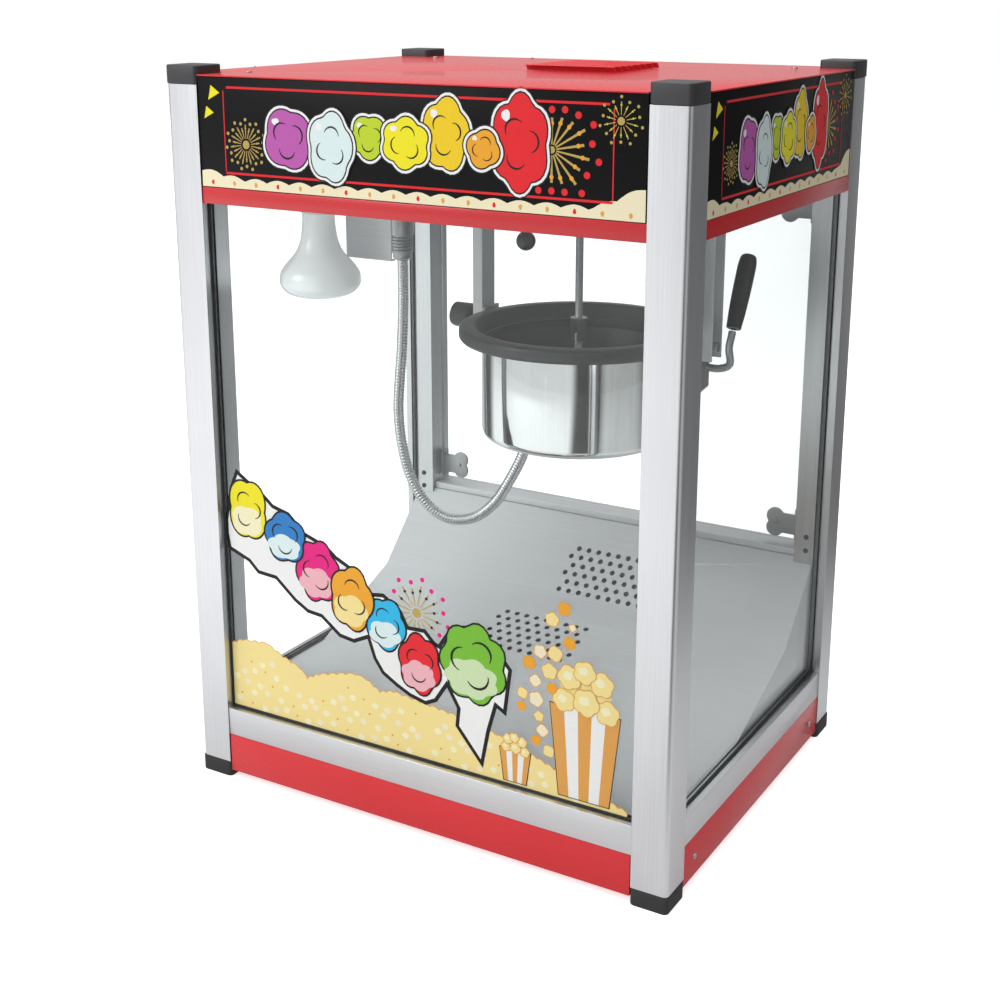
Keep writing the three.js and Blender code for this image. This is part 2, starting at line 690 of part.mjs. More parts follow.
function rearPanel() {
  const top = SILL_HEIGHT - SILL_SHEET - GAP;
  const t = BASE_SHEET;
  const bottom = baseTop + GAP;
  const section = outlineOf([
    [rearPanelY, top], [rearPanelY + t, top], [rearPanelY + t, bottom + t],
    [sillRear, bottom + t], [sillRear, bottom], [rearPanelY, bottom],
  ]);
  const halfWidth = ROCKER_WIDTH / 2 + ROCKER_PLAY;
  const halfLength = ROCKER_LENGTH / 2 + ROCKER_PLAY;
  const windows = switchPlaces().map((x) => block(
    [x - halfWidth, rearPanelY - 2, SWITCH_HEIGHT - halfLength],
    [x + halfWidth, rearPanelY + t + 2, SWITCH_HEIGHT + halfLength],
  ));
  return cut(join(prismX(section, -betweenX, betweenX), mainsGland()), ...windows, mainsBore());
}

// The mains cord enters through a collar pressed out of the panel.
function mainsGland() {
  const rear = rearPanelY + BASE_SHEET;
  const place = [GLAND_X, GLAND_HEIGHT];
  return join(
    bar("y", GLAND_RADIUS, rear - 0.5, rear + GLAND_LENGTH / 2, place, 6),
    bar("y", GLAND_RADIUS * 0.75, rear - 0.5, rear + GLAND_LENGTH, place, 20),
  );
}

function mainsBore() {
  const rear = rearPanelY + BASE_SHEET;
  return bar("y", GLAND_RADIUS * 0.4, rearPanelY - 1, rear + GLAND_LENGTH + 1, [GLAND_X, GLAND_HEIGHT], 12);
}

function switchPlaces() {
  const first = SWITCH_X - ((SWITCH_COUNT - 1) * SWITCH_PITCH) / 2;
  return Array.from({ length: SWITCH_COUNT }, (_, i) => first + i * SWITCH_PITCH);
}

// A rocker's section across its axis: a shallow V that stands out of the panel, and a belly behind it.
// At rest it is tipped with its upper half out.
function rocker() {
  const half = ROCKER_LENGTH / 2;
  const section = outlineOf([
    [-6, -5], [-6, 5], [-1.5, half], [5.5, half], [3, 0], [5.5, -half], [-1.5, -half],
  ]);
  const tip = THREE.MathUtils.degToRad(-ROCKER_TIP);
  return prismX(section, -ROCKER_WIDTH / 2, ROCKER_WIDTH / 2).rotateX(tip);
}

const rockerNames = ["rocker_heat", "rocker_stir", "rocker_light"];

function buildControls() {
  switchPlaces().forEach((x, i) => {
    add(rockerNames[i], rocker(), switchRed, [x, rearPanelY + BASE_SHEET, SWITCH_HEIGHT]);
  });
}

// A door hangs on its outer edge. Its pane is notched where the hinge barrels turn.
function buildDoor(side, s) {
  const half = DOOR_THICKNESS / 2;
  const span = (a, b) => [Math.min(s * a, s * b), Math.max(s * a, s * b)];
  const [x0, x1] = span(DOOR_GAP / 2, hingeX + half);
  const pane = block([x0, doorY - half, doorBottom], [x1, doorY + half, doorTop]);
  const levels = [
    ["lower", doorBottom + HINGE_FROM_EDGE],
    ["upper", doorTop - HINGE_FROM_EDGE - HINGE_HEIGHT],
  ];
  const [n0, n1] = span(hingeX - HINGE_RADIUS - 2 * RUNNING_GAP, hingeX + DOOR_THICKNESS);
  const notches = levels.map(([, z]) => block(
    [n0, doorY - DOOR_THICKNESS, z - 1],
    [n1, doorY + DOOR_THICKNESS, z + HINGE_HEIGHT + 1],
  ));
  add(`door_${side}`, cut(pane, ...notches), clearAcrylic);
  for (const [level, z] of levels) {
    add(`door_hinge_${side}_${level}`, doorHinge(s, z), clearAcrylic);
  }
  const knobX = s * (DOOR_GAP / 2 + KNOB_FROM_EDGE);
  const face = doorY + half + GAP;
  const knob = turned([
    [0, 0], [KNOB_RADIUS * 0.55, 0], [KNOB_RADIUS * 0.5, 3], [KNOB_RADIUS * 0.95, 6],
    [KNOB_RADIUS, KNOB_LENGTH - 3], [KNOB_RADIUS * 0.75, KNOB_LENGTH], [0, KNOB_LENGTH],
  ], 24).rotateX(-Math.PI / 2);
  add(`door_knob_${side}`, knob, blackPlastic, [knobX, face, doorBottom + KNOB_HEIGHT]);
}

// A barrel on the door's axis with a leaf of two round lobes against the pane's inner face.
function doorHinge(s, z) {
  const inner = doorY - DOOR_THICKNESS / 2 - GAP;
  const leafTop = z + HINGE_HEIGHT;
  const lobe = HINGE_HEIGHT * 0.3;
  const root = s * (hingeX - HINGE_RADIUS * 0.2);
  const tip = s * (hingeX - HINGE_LEAF + lobe);
  const [x0, x1] = [root, tip].sort((a, b) => a - b);
  const outer = inner - HINGE_SHEET;
  const lobes = [z + lobe, leafTop - lobe].map((middle) => bar("y", lobe, outer, inner, [tip, middle], 20));
  const leaf = block([x0, outer, z + lobe * 0.5], [x1, inner, leafTop - lobe * 0.5]);
  return join(leaf, ...lobes, bar("z", HINGE_RADIUS, z, leafTop, [s * hingeX, doorY], 16));
}

function buildRear() {
  add("rear_sill", prismX(sillOutline(), -betweenX, betweenX), stainless);
  add("rear_panel", rearPanel(), stainless);
  add("crumb_drawer", crumbDrawer(), stainless);
  buildDoor("left", -1);
  buildDoor("right", 1);
  buildControls();
}

// An open tray with a face plate that covers its doorway in the base. A slot takes a fingertip.
function crumbDrawer() {
  const half = DRAWER_WIDTH / 2;
  const t = DRAWER_SHEET;
  const bottom = BASE_CLEARANCE + BASE_SHEET + DRAWER_PLAY;
  const top = bottom + DRAWER_HEIGHT;
  const rear = outY - PANEL_RECESS;
  const front = rear - DRAWER_LENGTH;
  const tray = cut(
    block([-half, front, bottom], [half, rear - t / 2, top]),
    block([-half + t, front + t, bottom + t], [half - t, rear - 8, top + 1]),
  );
  const over = DRAWER_FACE_OVERLAP;
  const plate = block([-half - over, rear - t, BASE_CLEARANCE + 1], [half + over, rear, baseTop - 1]);
  const middle = (bottom + top) / 2;
  const [slotX, slotZ] = DRAWER_SLOT;
  const round = slotZ / 2 - 0.01;
  const slot = roundedRectangle(-slotX / 2, middle - slotZ / 2, slotX / 2, middle + slotZ / 2, round);
  return cut(join(tray, plate), prismY(slot, rear - 20, rear + 1, 5));
}

// ---------------------------------------------------------------- lamp
function buildLamp() {
  const [x, y] = LAMP_POSITION;
  const socketBottom = hangFrom - SOCKET_LENGTH;
  add("lamp_socket", join(
    bar("z", SOCKET_RADIUS, socketBottom, hangFrom, [x, y], 28),
    bar("z", SOCKET_RADIUS + 5, hangFrom - 4, hangFrom, [x, y], 28),
  ), whitePlastic);
  const neck = BULB_NECK_RADIUS;
  const wide = BULB_RADIUS;
  const bulb = turned([
    [0, -BULB_LENGTH], [wide * 0.45, -BULB_LENGTH + 2.5], [wide * 0.76, -BULB_LENGTH + 9],
    [wide * 0.95, -BULB_LENGTH + 19], [wide, -BULB_LENGTH + 29], [wide * 0.94, -BULB_LENGTH + 39],
    [wide * 0.76, -BULB_LENGTH + 50], [wide * 0.56, -BULB_LENGTH + 60], [neck * 1.08, -14],
    [neck, 0], [0, 0],
  ], 32);
  add("lamp_bulb", bulb, frosted, [x, y, socketBottom - GAP]);
  const shieldX = x + 2;
  const shieldY = y + BULB_RADIUS + SHIELD_GAP;
  const t = SHIELD_SHEET;
  const low = hangFrom - SHIELD_HEIGHT;
  const section = outlineOf([
    [shieldY, low], [shieldY, hangFrom], [shieldY + SHIELD_FLANGE, hangFrom],
    [shieldY + SHIELD_FLANGE, hangFrom - t], [shieldY + t, hangFrom - t], [shieldY + t, low + t],
    [shieldY + 7, low + t], [shieldY + 7, low],
  ]);
  add("lamp_shield", prismX(section, shieldX, shieldX + SHIELD_WIDTH), stainless);
}

// ---------------------------------------------------------------- hangers and conduit
// A hanger is a channel that opens away from the kettle, with a pin hole near its lower end.
function hanger(s) {
  const [kx] = KETTLE_POSITION;
  const inner = kx + s * hangerInner;
  const outer = kx + s * hangerOuter;
  const t = HANGER_SHEET;
  const y0 = pivotY - HANGER_WIDTH / 2;
  const y1 = pivotY + HANGER_WIDTH / 2;
  const channel = outlineOf([
    [inner, y0], [outer, y0], [outer, y0 + t], [inner + s * t, y0 + t],
    [inner + s * t, y1 - t], [outer, y1 - t], [outer, y1], [inner, y1],
  ]);
  const strip = prismZ(channel, pivotZ - HANGER_BELOW, hangFrom);
  const [x0, x1] = [inner, outer].sort((a, b) => a - b);
  const foot = block([x0 - 6, y0 - 6, hangFrom - t], [x1 + 6, y1 + 6, hangFrom]);
  const hole = bar("x", PIVOT_RADIUS + RUNNING_GAP, x0 - 1, x1 + 1, [pivotY, pivotZ], 24);
  return cut(join(strip, foot), hole);
}

function buildHangers() {
  add("hanger_left", hanger(-1), stainless);
  add("hanger_right", hanger(1), stainless);
}

function buildConduit() {
  const [x, y] = CONDUIT_ROUTE[0];
  const low = hangFrom - CONNECTOR_LENGTH;
  const exit = low - CONNECTOR_NECK;
  add("conduit_connector", join(
    bar("z", CONNECTOR_RADIUS, low, hangFrom, [x, y], 24),
    bar("z", CONNECTOR_COLLAR_RADIUS, exit, exit + CONNECTOR_COLLAR, [x, y], 6),
    bar("z", CONNECTOR_RADIUS * 0.8, exit, low + 2, [x, y], 24),
  ), whitePlastic);
  add("conduit", tube(CONDUIT_ROUTE, CONDUIT_DIAMETER / 2, 8, 26), steelHose);
}

// ---------------------------------------------------------------- stirring drive and pull knob
function buildDrive() {
  const [kx, ky] = KETTLE_POSITION;
  const [gx, gy, gz] = GEARBOX;
  const bottom = ceilingTop + GAP;
  add("drive_motor", join(
    block([kx - gx * 0.3, ky - gy / 2, bottom], [kx + gx * 0.7, ky + gy / 2, bottom + gz]),
    bar("z", MOTOR_RADIUS, bottom + gz - 1, bottom + gz + MOTOR_LENGTH, [kx + gx * 0.32, ky], 24),
  ), castMetal);

  const slotTop = couplingBottom + SLOT_LENGTH;
  const slotHalf = TONGUE_THICKNESS / 2 + RUNNING_GAP;
  const shaft = join(
    bar("z", SHAFT_RADIUS, couplingBottom + SLOT_LENGTH, bottom - GAP, [0, 0], 16),
    bar("z", COUPLING_RADIUS, couplingBottom, couplingBottom + COUPLING_LENGTH, [0, 0], 20),
  );
  const slot = block(
    [-slotHalf, -COUPLING_RADIUS - 1, couplingBottom - 1],
    [slotHalf, COUPLING_RADIUS + 1, slotTop],
  );
  add("drive_shaft", cut(shaft, slot), stainless, [kx, ky, 0]);

  const collarBottom = ceilingTop + PULL_TRAVEL + 3;
  const ballTop = hangFrom - PULL_ROD_DROP;
  const ball = new THREE.SphereGeometry(PULL_BALL_RADIUS, 20, 12).rotateX(Math.PI / 2);
  const knob = join(
    bar("z", PULL_ROD_RADIUS, ballTop - 4, collarBottom + 4, [0, 0], 12),
    bar("z", PULL_ROD_RADIUS + 3, collarBottom, collarBottom + 4, [0, 0], 16),
    ball.translate(0, 0, ballTop - PULL_BALL_RADIUS),
  );
  add("pull_knob", knob, blackPlastic, [kx + PULL_OFFSET[0], ky + PULL_OFFSET[1], 0]);
}

// ---------------------------------------------------------------- kettle
// Everything here is placed from the kettle's middle.
function kettleShell() {
  const r = SHELL_RADIUS;
  const c = SHELL_CORNER;
  const t = SHELL_SHEET;
  const low = kettleBottom;
  const high = shellTop;
  const corner = (radius, inset, count) => Array.from({ length: count + 1 }, (_, i) => {
    const angle = (Math.PI / 2) * (i / count);
    return [r - inset - radius + radius * Math.sin(angle), low + inset + radius - radius * Math.cos(angle)];
  });
  const outer = [[0, low], ...corner(c, 0, 5), [r, high]];
  const inner = [[0, low + t], ...corner(c - t, t, 4), [r - t, high]].reverse();
  return turned([...outer, ...inner], 48);
}

function kettlePot() {
  const floor = potFloor;
  const t = POT_SHEET;
  const rimLow = rimTop - RIM_THICKNESS;
  const outer = [
    [0, floor - t], [potRadius - 7, floor - t], [potRadius, floor + 3], [potRadius, shellTop - 6],
    [potRadius + 1, shellTop + GAP], [SHELL_RADIUS + 2, shellTop + GAP], [rimRadius - 2, rimLow],
    [rimRadius, rimLow + 4], [rimRadius, rimTop - 4], [rimRadius - 4, rimTop - 0.8],
    [mouthRadius + 4, rimTop],
  ];
  const inner = [
    [mouthRadius, rimTop - 2.5], [mouthRadius - 5, rimTop - 12], [potRadius - t, shellTop - 16],
    [potRadius - t, floor + 6], [potRadius - t - 6, floor], [0, floor],
  ];
  return turned([...outer, ...inner], 48);
}

// A cast arm reaches out under the rim and rises outside it to the tilting axis.
function kettleBracket(s) {
  const inner = s * bracketInner;
  const outer = s * bracketOuter;
  const y0 = PIVOT_BEHIND - BRACKET_WIDTH / 2;
  const y1 = PIVOT_BEHIND + BRACKET_WIDTH / 2;
  const armLow = shellTop - (s < 0 ? 26 : 52);
  const top = pivotZ + BRACKET_ABOVE;
  const arm = prismY(outlineOf([
    [s * SHELL_RADIUS * 0.8, armLow + 8], [outer - s * 8, armLow], [outer, armLow + 8], [outer, top],
    [inner, top], [inner, shellTop], [s * SHELL_RADIUS * 0.8, shellTop],
  ]), y0, y1);
  const past = s < 0 ? NUT_STANDOFF : PIN_PROUD;
  const pinEnd = outer + s * (HANGER_CLEARANCE + HANGER_DEPTH + past);
  const [p0, p1] = [inner + s * 1, pinEnd].sort((a, b) => a - b);
  const pin = bar("x", PIVOT_RADIUS, p0, p1, [PIVOT_BEHIND, pivotZ], 24);
  const clear = bar("z", SHELL_RADIUS + GAP, 0, rimTop, [0, 0], 48);
  return cut(join(arm, pin), clear);
}

function pivotNut() {
  const start = -(hangerOuter + NUT_STANDOFF + GAP);
  return bar("x", NUT_RADIUS, start - NUT_LENGTH, start, [PIVOT_BEHIND, pivotZ], 12);
}

function handlePlace([back, up], out) {
  return [bracketOuter + out, PIVOT_BEHIND + back, pivotZ + up];
}

const gripBack = HANDLE_GRIP_END[0] - HANDLE_GRIP_START[0];
const gripUp = HANDLE_GRIP_END[1] - HANDLE_GRIP_START[1];
const gripLength = Math.hypot(gripBack, gripUp);

// A place on the grip's axis, a little below its lower end.
function beforeGrip(distance) {
  const back = HANDLE_GRIP_START[0] - (gripBack / gripLength) * distance;
  return [back, HANDLE_GRIP_START[1] - (gripUp / gripLength) * distance];
}

// The rod leaves the right bracket below the hanger, turns up outside it and carries the grip.
function handleBracket() {
  const rod = tube([
    handlePlace(HANDLE_START, -2),
    handlePlace(HANDLE_START, HANDLE_OUT * 0.5),
    handlePlace([HANDLE_START[0], HANDLE_START[1] + 5], HANDLE_OUT * 0.93),
    handlePlace(beforeGrip(18), HANDLE_OUT),
    handlePlace(beforeGrip(8), HANDLE_OUT),
    handlePlace(beforeGrip(1), HANDLE_OUT),
  ], HANDLE_ROD_RADIUS, 10, 16);
  return join(kettleBracket(1), rod);
}

function handleGrip() {
  const length = gripLength;
  const r = GRIP_RADIUS;
  const grip = turned([
    [0, 0], [r * 0.7, 0], [r * 0.95, 3], [r * 0.9, length * 0.25], [r, length * 0.7],
    [r, length - 7], [r * 0.8, length - 2.5], [r * 0.45, length], [0, length],
  ], 20);
  grip.rotateX(-Math.atan2(gripBack, gripUp));
  return grip.translate(...handlePlace(HANDLE_GRIP_START, HANDLE_OUT));
}

function agitator() {
  const bottom = potFloor + BLADE_GAP;
  const shoulder = couplingBottom - TONGUE_GAP;
  const tongueTop = couplingBottom + TONGUE_LENGTH;
  const halfT = TONGUE_THICKNESS / 2;
  const halfW = TONGUE_WIDTH / 2;
  const blade = (s) => prismZ(outlineOf([
    [0, -s * BLADE_WIDTH * 0.5], [s * bladeLength * 0.8, -s * BLADE_WIDTH * 0.5],
    [s * bladeLength, s * BLADE_WIDTH * 0.4], [s * bladeLength * 0.85, s * BLADE_WIDTH],
    [s * bladeLength * 0.7, s * BLADE_WIDTH * 0.5], [0, s * BLADE_WIDTH * 0.5],
  ]), bottom, bottom + BLADE_SHEET);
  return join(
    bar("z", SHAFT_RADIUS, bottom, shoulder, [0, 0], 16),
    bar("z", HUB_RADIUS, bottom, bottom + HUB_LENGTH, [0, 0], 20),
    block([-halfT, -halfW, shoulder - 2], [halfT, halfW, tongueTop]),
    blade(1),
    blade(-1),
  );
}

function buildKettle() {
  const kettle = new THREE.Group();
  kettle.position.set(...KETTLE_POSITION, 0);
  machine.add(kettle);
  const put = (name, geometry, material) => add(name, geometry, material, [0, 0, 0], kettle);
  put("kettle_shell", kettleShell(), polishedSteel);
  put("kettle_pot", kettlePot(), nonStick);
  const heaterBottom = kettleBottom + SHELL_SHEET + GAP;
  const heaterTop = heaterBottom + HEATER_THICKNESS;
  put("kettle_heater", bar("z", heaterRadius, heaterBottom, heaterTop, [0, 0], 32), castMetal);
  put("kettle_bracket_left", kettleBracket(-1), castMetal);
  put("pivot_nut", pivotNut(), castMetal);
  put("handle_bracket", handleBracket(), castMetal);
  put("handle_grip", handleGrip(), blackPlastic);
  put("agitator", agitator(), stainless);
  const glandTop = kettleBottom - GAP;
  const glandLow = glandTop - CONDUIT_GLAND_LENGTH;
  put("kettle_gland", join(
    bar("z", CONDUIT_GLAND_RADIUS, glandLow + CONDUIT_GLAND_LENGTH * 0.45, glandTop, CONDUIT_GLAND, 6),
    bar("z", CONDUIT_GLAND_RADIUS * 0.85, glandLow, glandTop, CONDUIT_GLAND, 20),
  ), brass);
}

buildFrame();
buildBase();
buildGlass();
buildHeader();
add("popcorn_deck", popcornDeck(), stainless);
buildRear();
buildLamp();
buildHangers();
buildConduit();
buildDrive();
buildKettle();

export default machine;
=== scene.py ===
import json
import math
import bmesh
import bpy
from mathutils import Matrix, Vector


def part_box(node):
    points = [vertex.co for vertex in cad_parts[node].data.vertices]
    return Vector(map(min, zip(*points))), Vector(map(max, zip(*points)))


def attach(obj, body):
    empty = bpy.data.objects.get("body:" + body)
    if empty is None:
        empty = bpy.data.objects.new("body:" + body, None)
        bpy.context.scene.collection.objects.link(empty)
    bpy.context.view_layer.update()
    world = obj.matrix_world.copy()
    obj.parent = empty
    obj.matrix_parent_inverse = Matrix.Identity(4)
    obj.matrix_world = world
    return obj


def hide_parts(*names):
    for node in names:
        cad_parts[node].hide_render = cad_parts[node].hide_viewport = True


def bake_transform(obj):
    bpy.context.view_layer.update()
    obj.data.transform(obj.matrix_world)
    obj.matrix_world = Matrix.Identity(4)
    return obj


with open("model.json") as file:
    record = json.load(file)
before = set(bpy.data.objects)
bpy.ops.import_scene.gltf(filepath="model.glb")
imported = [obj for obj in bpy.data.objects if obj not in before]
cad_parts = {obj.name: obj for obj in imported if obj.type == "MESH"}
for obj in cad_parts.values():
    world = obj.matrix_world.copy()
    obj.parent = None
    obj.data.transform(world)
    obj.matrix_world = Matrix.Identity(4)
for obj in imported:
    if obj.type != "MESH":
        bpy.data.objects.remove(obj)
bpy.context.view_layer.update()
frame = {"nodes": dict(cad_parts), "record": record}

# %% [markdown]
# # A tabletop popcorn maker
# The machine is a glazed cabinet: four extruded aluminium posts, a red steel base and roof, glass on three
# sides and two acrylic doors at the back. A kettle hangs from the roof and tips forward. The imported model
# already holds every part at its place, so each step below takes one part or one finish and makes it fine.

MM = 0.001
bodies = frame["record"]["behaviour"]["bodies"]
body_of_node = {node: body for body, nodes in bodies.items() for node in nodes}
slot_of_node = {part["node"]: part["material_slot"] for part in frame["record"]["subparts"]}
print("bodies:", sorted(set(body_of_node.values())))

# %% [markdown]
# ## The camera
# A camera is placed by its target, its distance and two angles, because those are what one changes on a
# tripod. A small downward shift of the lens lets the camera tilt less, so the posts lean less.

# %% Camera
TARGET = Vector((-0.0323, 0, 0.3914))
DISTANCE = 1.6832
AZIMUTH, ELEVATION = math.radians(30.49), math.radians(15.46)


def place_camera():
    data = bpy.data.cameras.new("view_camera")
    data.lens, data.sensor_width = 56.08, 36
    data.shift_y = -0.09
    camera = bpy.data.objects.new("view_camera", data)
    bpy.context.scene.collection.objects.link(camera)
    back = Vector((math.sin(AZIMUTH) * math.cos(ELEVATION), -math.cos(AZIMUTH) * math.cos(ELEVATION),
                   math.sin(ELEVATION)))
    camera.location = TARGET + back * DISTANCE
    camera.rotation_euler = back.to_track_quat("Z", "Y").to_euler()
    bpy.context.scene.camera = camera


place_camera()
print("camera", round(DISTANCE, 2), "m away")

# %% [markdown]
# ## Finishes
# Real surfaces are never one flat colour. Each finish mixes two close colours with a fine noise, varies its
# roughness with the same noise and lifts the surface by hundredths of a millimetre. Stretching the noise
# along one axis turns it into brush lines. All patterns read Object coordinates, which are metres here.

# %% Finish helper
def pattern(tree, scale, stretch=(1, 1, 1), detail=3.0):
    coords = tree.nodes.new("ShaderNodeTexCoord")
    mapping = tree.nodes.new("ShaderNodeMapping")
    mapping.inputs["Scale"].default_value = stretch
    noise = tree.nodes.new("ShaderNodeTexNoise")
    noise.inputs["Scale"].default_value = scale
    noise.inputs["Detail"].default_value = detail
    tree.links.new(coords.outputs["Object"], mapping.inputs["Vector"])
    tree.links.new(mapping.outputs["Vector"], noise.inputs["Vector"])
    return noise.outputs["Fac"]


def ranged(tree, value, low, high, start=0.3, stop=0.7):
    node = tree.nodes.new("ShaderNodeMapRange")
    for socket, number in zip(("From Min", "From Max", "To Min", "To Max"), (start, stop, low, high)):
        node.inputs[socket].default_value = number
    tree.links.new(value, node.inputs["Value"])
    return node.outputs["Result"]


def between(tree, value, first, second):
    node = tree.nodes.new("ShaderNodeMix")
    node.data_type = "RGBA"
    node.inputs["A"].default_value = (*first, 1)
    node.inputs["B"].default_value = (*second, 1)
    tree.links.new(value, node.inputs["Factor"])
    return node.outputs["Result"]


def finish(name, dark, light, rough=(0.3, 0.4), metal=0.0, scale=300, stretch=(1, 1, 1), lift=0.02,
           coat=0.0, broad=6, **sockets):
    """A Principled finish: two close colours, a roughness range and a fine relief of lift millimetres."""
    material = bpy.data.materials.new(name)
    material.use_nodes = True
    tree = material.node_tree
    shader = tree.nodes["Principled BSDF"]
    fine = pattern(tree, scale, stretch)
    wide = pattern(tree, broad, detail=2.0)
    blend = tree.nodes.new("ShaderNodeMath")
    blend.operation = "MULTIPLY"
    tree.links.new(ranged(tree, fine, 0.35, 1), blend.inputs[0])
    tree.links.new(ranged(tree, wide, 0.6, 1), blend.inputs[1])
    tree.links.new(between(tree, blend.outputs[0], dark, light), shader.inputs["Base Color"])
    tree.links.new(ranged(tree, fine, *rough), shader.inputs["Roughness"])
    shader.inputs["Metallic"].default_value = metal
    shader.inputs["Coat Weight"].default_value = coat
    for socket, number in sockets.items():
        shader.inputs[socket.replace("_", " ")].default_value = number
    if lift:
        bump = tree.nodes.new("ShaderNodeBump")
        bump.inputs["Distance"].default_value = lift * MM
        bump.inputs["Strength"].default_value = 0.6
        tree.links.new(fine, bump.inputs["Height"])
        tree.links.new(bump.outputs["Normal"], shader.inputs["Normal"])
    return material


# %% Metals, paints, plastics and ceramics
aluminium = finish("post_aluminium", (0.62, 0.63, 0.65), (0.74, 0.75, 0.77), (0.3, 0.42), 1.0, 900,
                   (1, 1, 0.01))
rail_metal = finish("rail_aluminium", (0.6, 0.61, 0.63), (0.72, 0.73, 0.75), (0.28, 0.4), 1.0, 900,
                    (0.01, 0.01, 1))
red_enamel = finish("red_enamel", (0.6, 0.02, 0.025), (0.72, 0.035, 0.045), (0.22, 0.3), 0.0, 1600,
                    lift=0.0008, coat=0.12, Specular_IOR_Level=0.3)
sheet_metal = finish("brushed_steel_sheet", (0.66, 0.67, 0.69), (0.76, 0.77, 0.79), (0.36, 0.5), 0.35, 700,
                     (0.02, 1, 1))
mirror_steel = finish("polished_steel", (0.76, 0.77, 0.78), (0.86, 0.87, 0.88), (0.05, 0.11), 1.0, 500,
                      (1, 1, 0.02), lift=0.0015)
pot_dark = finish("anodised_pot", (0.03, 0.032, 0.034), (0.042, 0.045, 0.048), (0.34, 0.44), 0.3, 2600,
                  lift=0.0012)
cap_black = finish("grained_black_plastic", (0.02, 0.02, 0.022), (0.045, 0.045, 0.05), (0.38, 0.52), 0.0,
                   2200, lift=0.05)
foot_rubber = finish("foot_rubber", (0.015, 0.015, 0.016), (0.032, 0.032, 0.034), (0.62, 0.8), 0.0, 1800,
                     lift=0.05)
gasket_rubber = finish("gasket_rubber", (0.01, 0.01, 0.011), (0.02, 0.02, 0.022), (0.5, 0.62), 0.0, 1500,
                       lift=0.02)
sign_black = finish("sign_black", (0.003, 0.003, 0.004), (0.007, 0.007, 0.008), (0.3, 0.4), 0.0, 400,
                    lift=0.003, Specular_IOR_Level=0.1)
trim_red = finish("trim_red_enamel", (0.5, 0.004, 0.008), (0.62, 0.01, 0.018), (0.24, 0.32), 0.0, 1600,
                  lift=0.0008, coat=0.3)
grip_black = finish("grip_phenolic", (0.012, 0.012, 0.013), (0.03, 0.03, 0.032), (0.22, 0.34), 0.0, 1400,
                    lift=0.02)
ceramic = finish("socket_ceramic", (0.72, 0.71, 0.68), (0.84, 0.83, 0.8), (0.28, 0.4), 0.0, 900, lift=0.01)
lamp_glass = finish("lamp_frosted_glass", (0.82, 0.86, 0.88), (0.87, 0.91, 0.93), (0.2, 0.26), 0.0, 1500,
                    lift=0.001, coat=0.5, Emission_Strength=0.16)
cast_metal = finish("cast_bracket", (0.36, 0.37, 0.38), (0.5, 0.51, 0.52), (0.36, 0.52), 0.9, 1300,
                    lift=0.05)
hose_steel = finish("hose_steel", (0.55, 0.56, 0.58), (0.78, 0.79, 0.81), (0.2, 0.34), 1.0, 900, lift=0.01)
brass = finish("gland_brass", (0.5, 0.38, 0.15), (0.7, 0.56, 0.28), (0.22, 0.36), 1.0, 900, lift=0.01)
screw_steel = finish("screw_steel", (0.3, 0.31, 0.32), (0.5, 0.51, 0.53), (0.25, 0.4), 1.0, 1500, lift=0.01)
motor_paint = finish("motor_paint", (0.1, 0.1, 0.11), (0.17, 0.17, 0.18), (0.4, 0.55), 0.3, 1000, lift=0.04)
switch_red = finish("switch_red", (0.45, 0.01, 0.015), (0.6, 0.025, 0.03), (0.2, 0.3), 0.0, 900, lift=0.006)
knob_grey = finish("knob_plastic", (0.6, 0.6, 0.58), (0.74, 0.74, 0.72), (0.3, 0.42), 0.0, 1200, lift=0.015)
print("finishes:", len(bpy.data.materials))

# %% [markdown]
# ## Glass
# A pane mirrors a little where it faces the eye and a lot at a glancing angle. Mixing a transparent and a
# glossy shader by how squarely the pane faces the eye gives that, and lets light into the cabinet with no
# dark shadow behind a pane.

# %% Glass and acrylic
def clear_pane(name, tint, mirror_rough, least):
    """Glass that mirrors the share least when faced squarely and far more at a glancing angle."""
    material = bpy.data.materials.new(name)
    material.use_nodes = True
    tree = material.node_tree
    tree.nodes.remove(tree.nodes["Principled BSDF"])
    mix = tree.nodes.new("ShaderNodeMixShader")
    facing = tree.nodes.new("ShaderNodeLayerWeight")
    facing.inputs["Blend"].default_value = 0.5
    steep = tree.nodes.new("ShaderNodeMath")
    steep.operation = "POWER"
    steep.inputs[1].default_value = 4.0
    share = ranged(tree, steep.outputs[0], least, 0.55, 0.0, 1.0)
    through = tree.nodes.new("ShaderNodeBsdfTransparent")
    mirror = tree.nodes.new("ShaderNodeBsdfGlossy")
    cloud = pattern(tree, 4, detail=2.0)
    clear = tuple(min(1.0, channel + 0.012) for channel in tint)
    tree.links.new(facing.outputs["Facing"], steep.inputs[0])
    tree.links.new(between(tree, cloud, tint, clear), through.inputs["Color"])
    tree.links.new(ranged(tree, cloud, mirror_rough, mirror_rough * 2), mirror.inputs["Roughness"])
    tree.links.new(share, mix.inputs["Fac"])
    tree.links.new(through.outputs["BSDF"], mix.inputs[1])
    tree.links.new(mirror.outputs["BSDF"], mix.inputs[2])
    tree.links.new(mix.outputs["Shader"], tree.nodes["Material Output"].inputs["Surface"])
    return material


pane_glass = clear_pane("pane_glass", (0.965, 0.98, 0.975), 0.01, 0.03)
door_acrylic = clear_pane("door_acrylic", (0.955, 0.965, 0.97), 0.03, 0.035)

# %% [markdown]
# ## Shape helpers
# Every new piece starts from a bmesh. A brick is a scaled cube with bevelled edges, a turned piece is a
# profile spun once around an axis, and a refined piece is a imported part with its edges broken, because no
# real edge is perfectly sharp and only a broken edge catches a line of light.

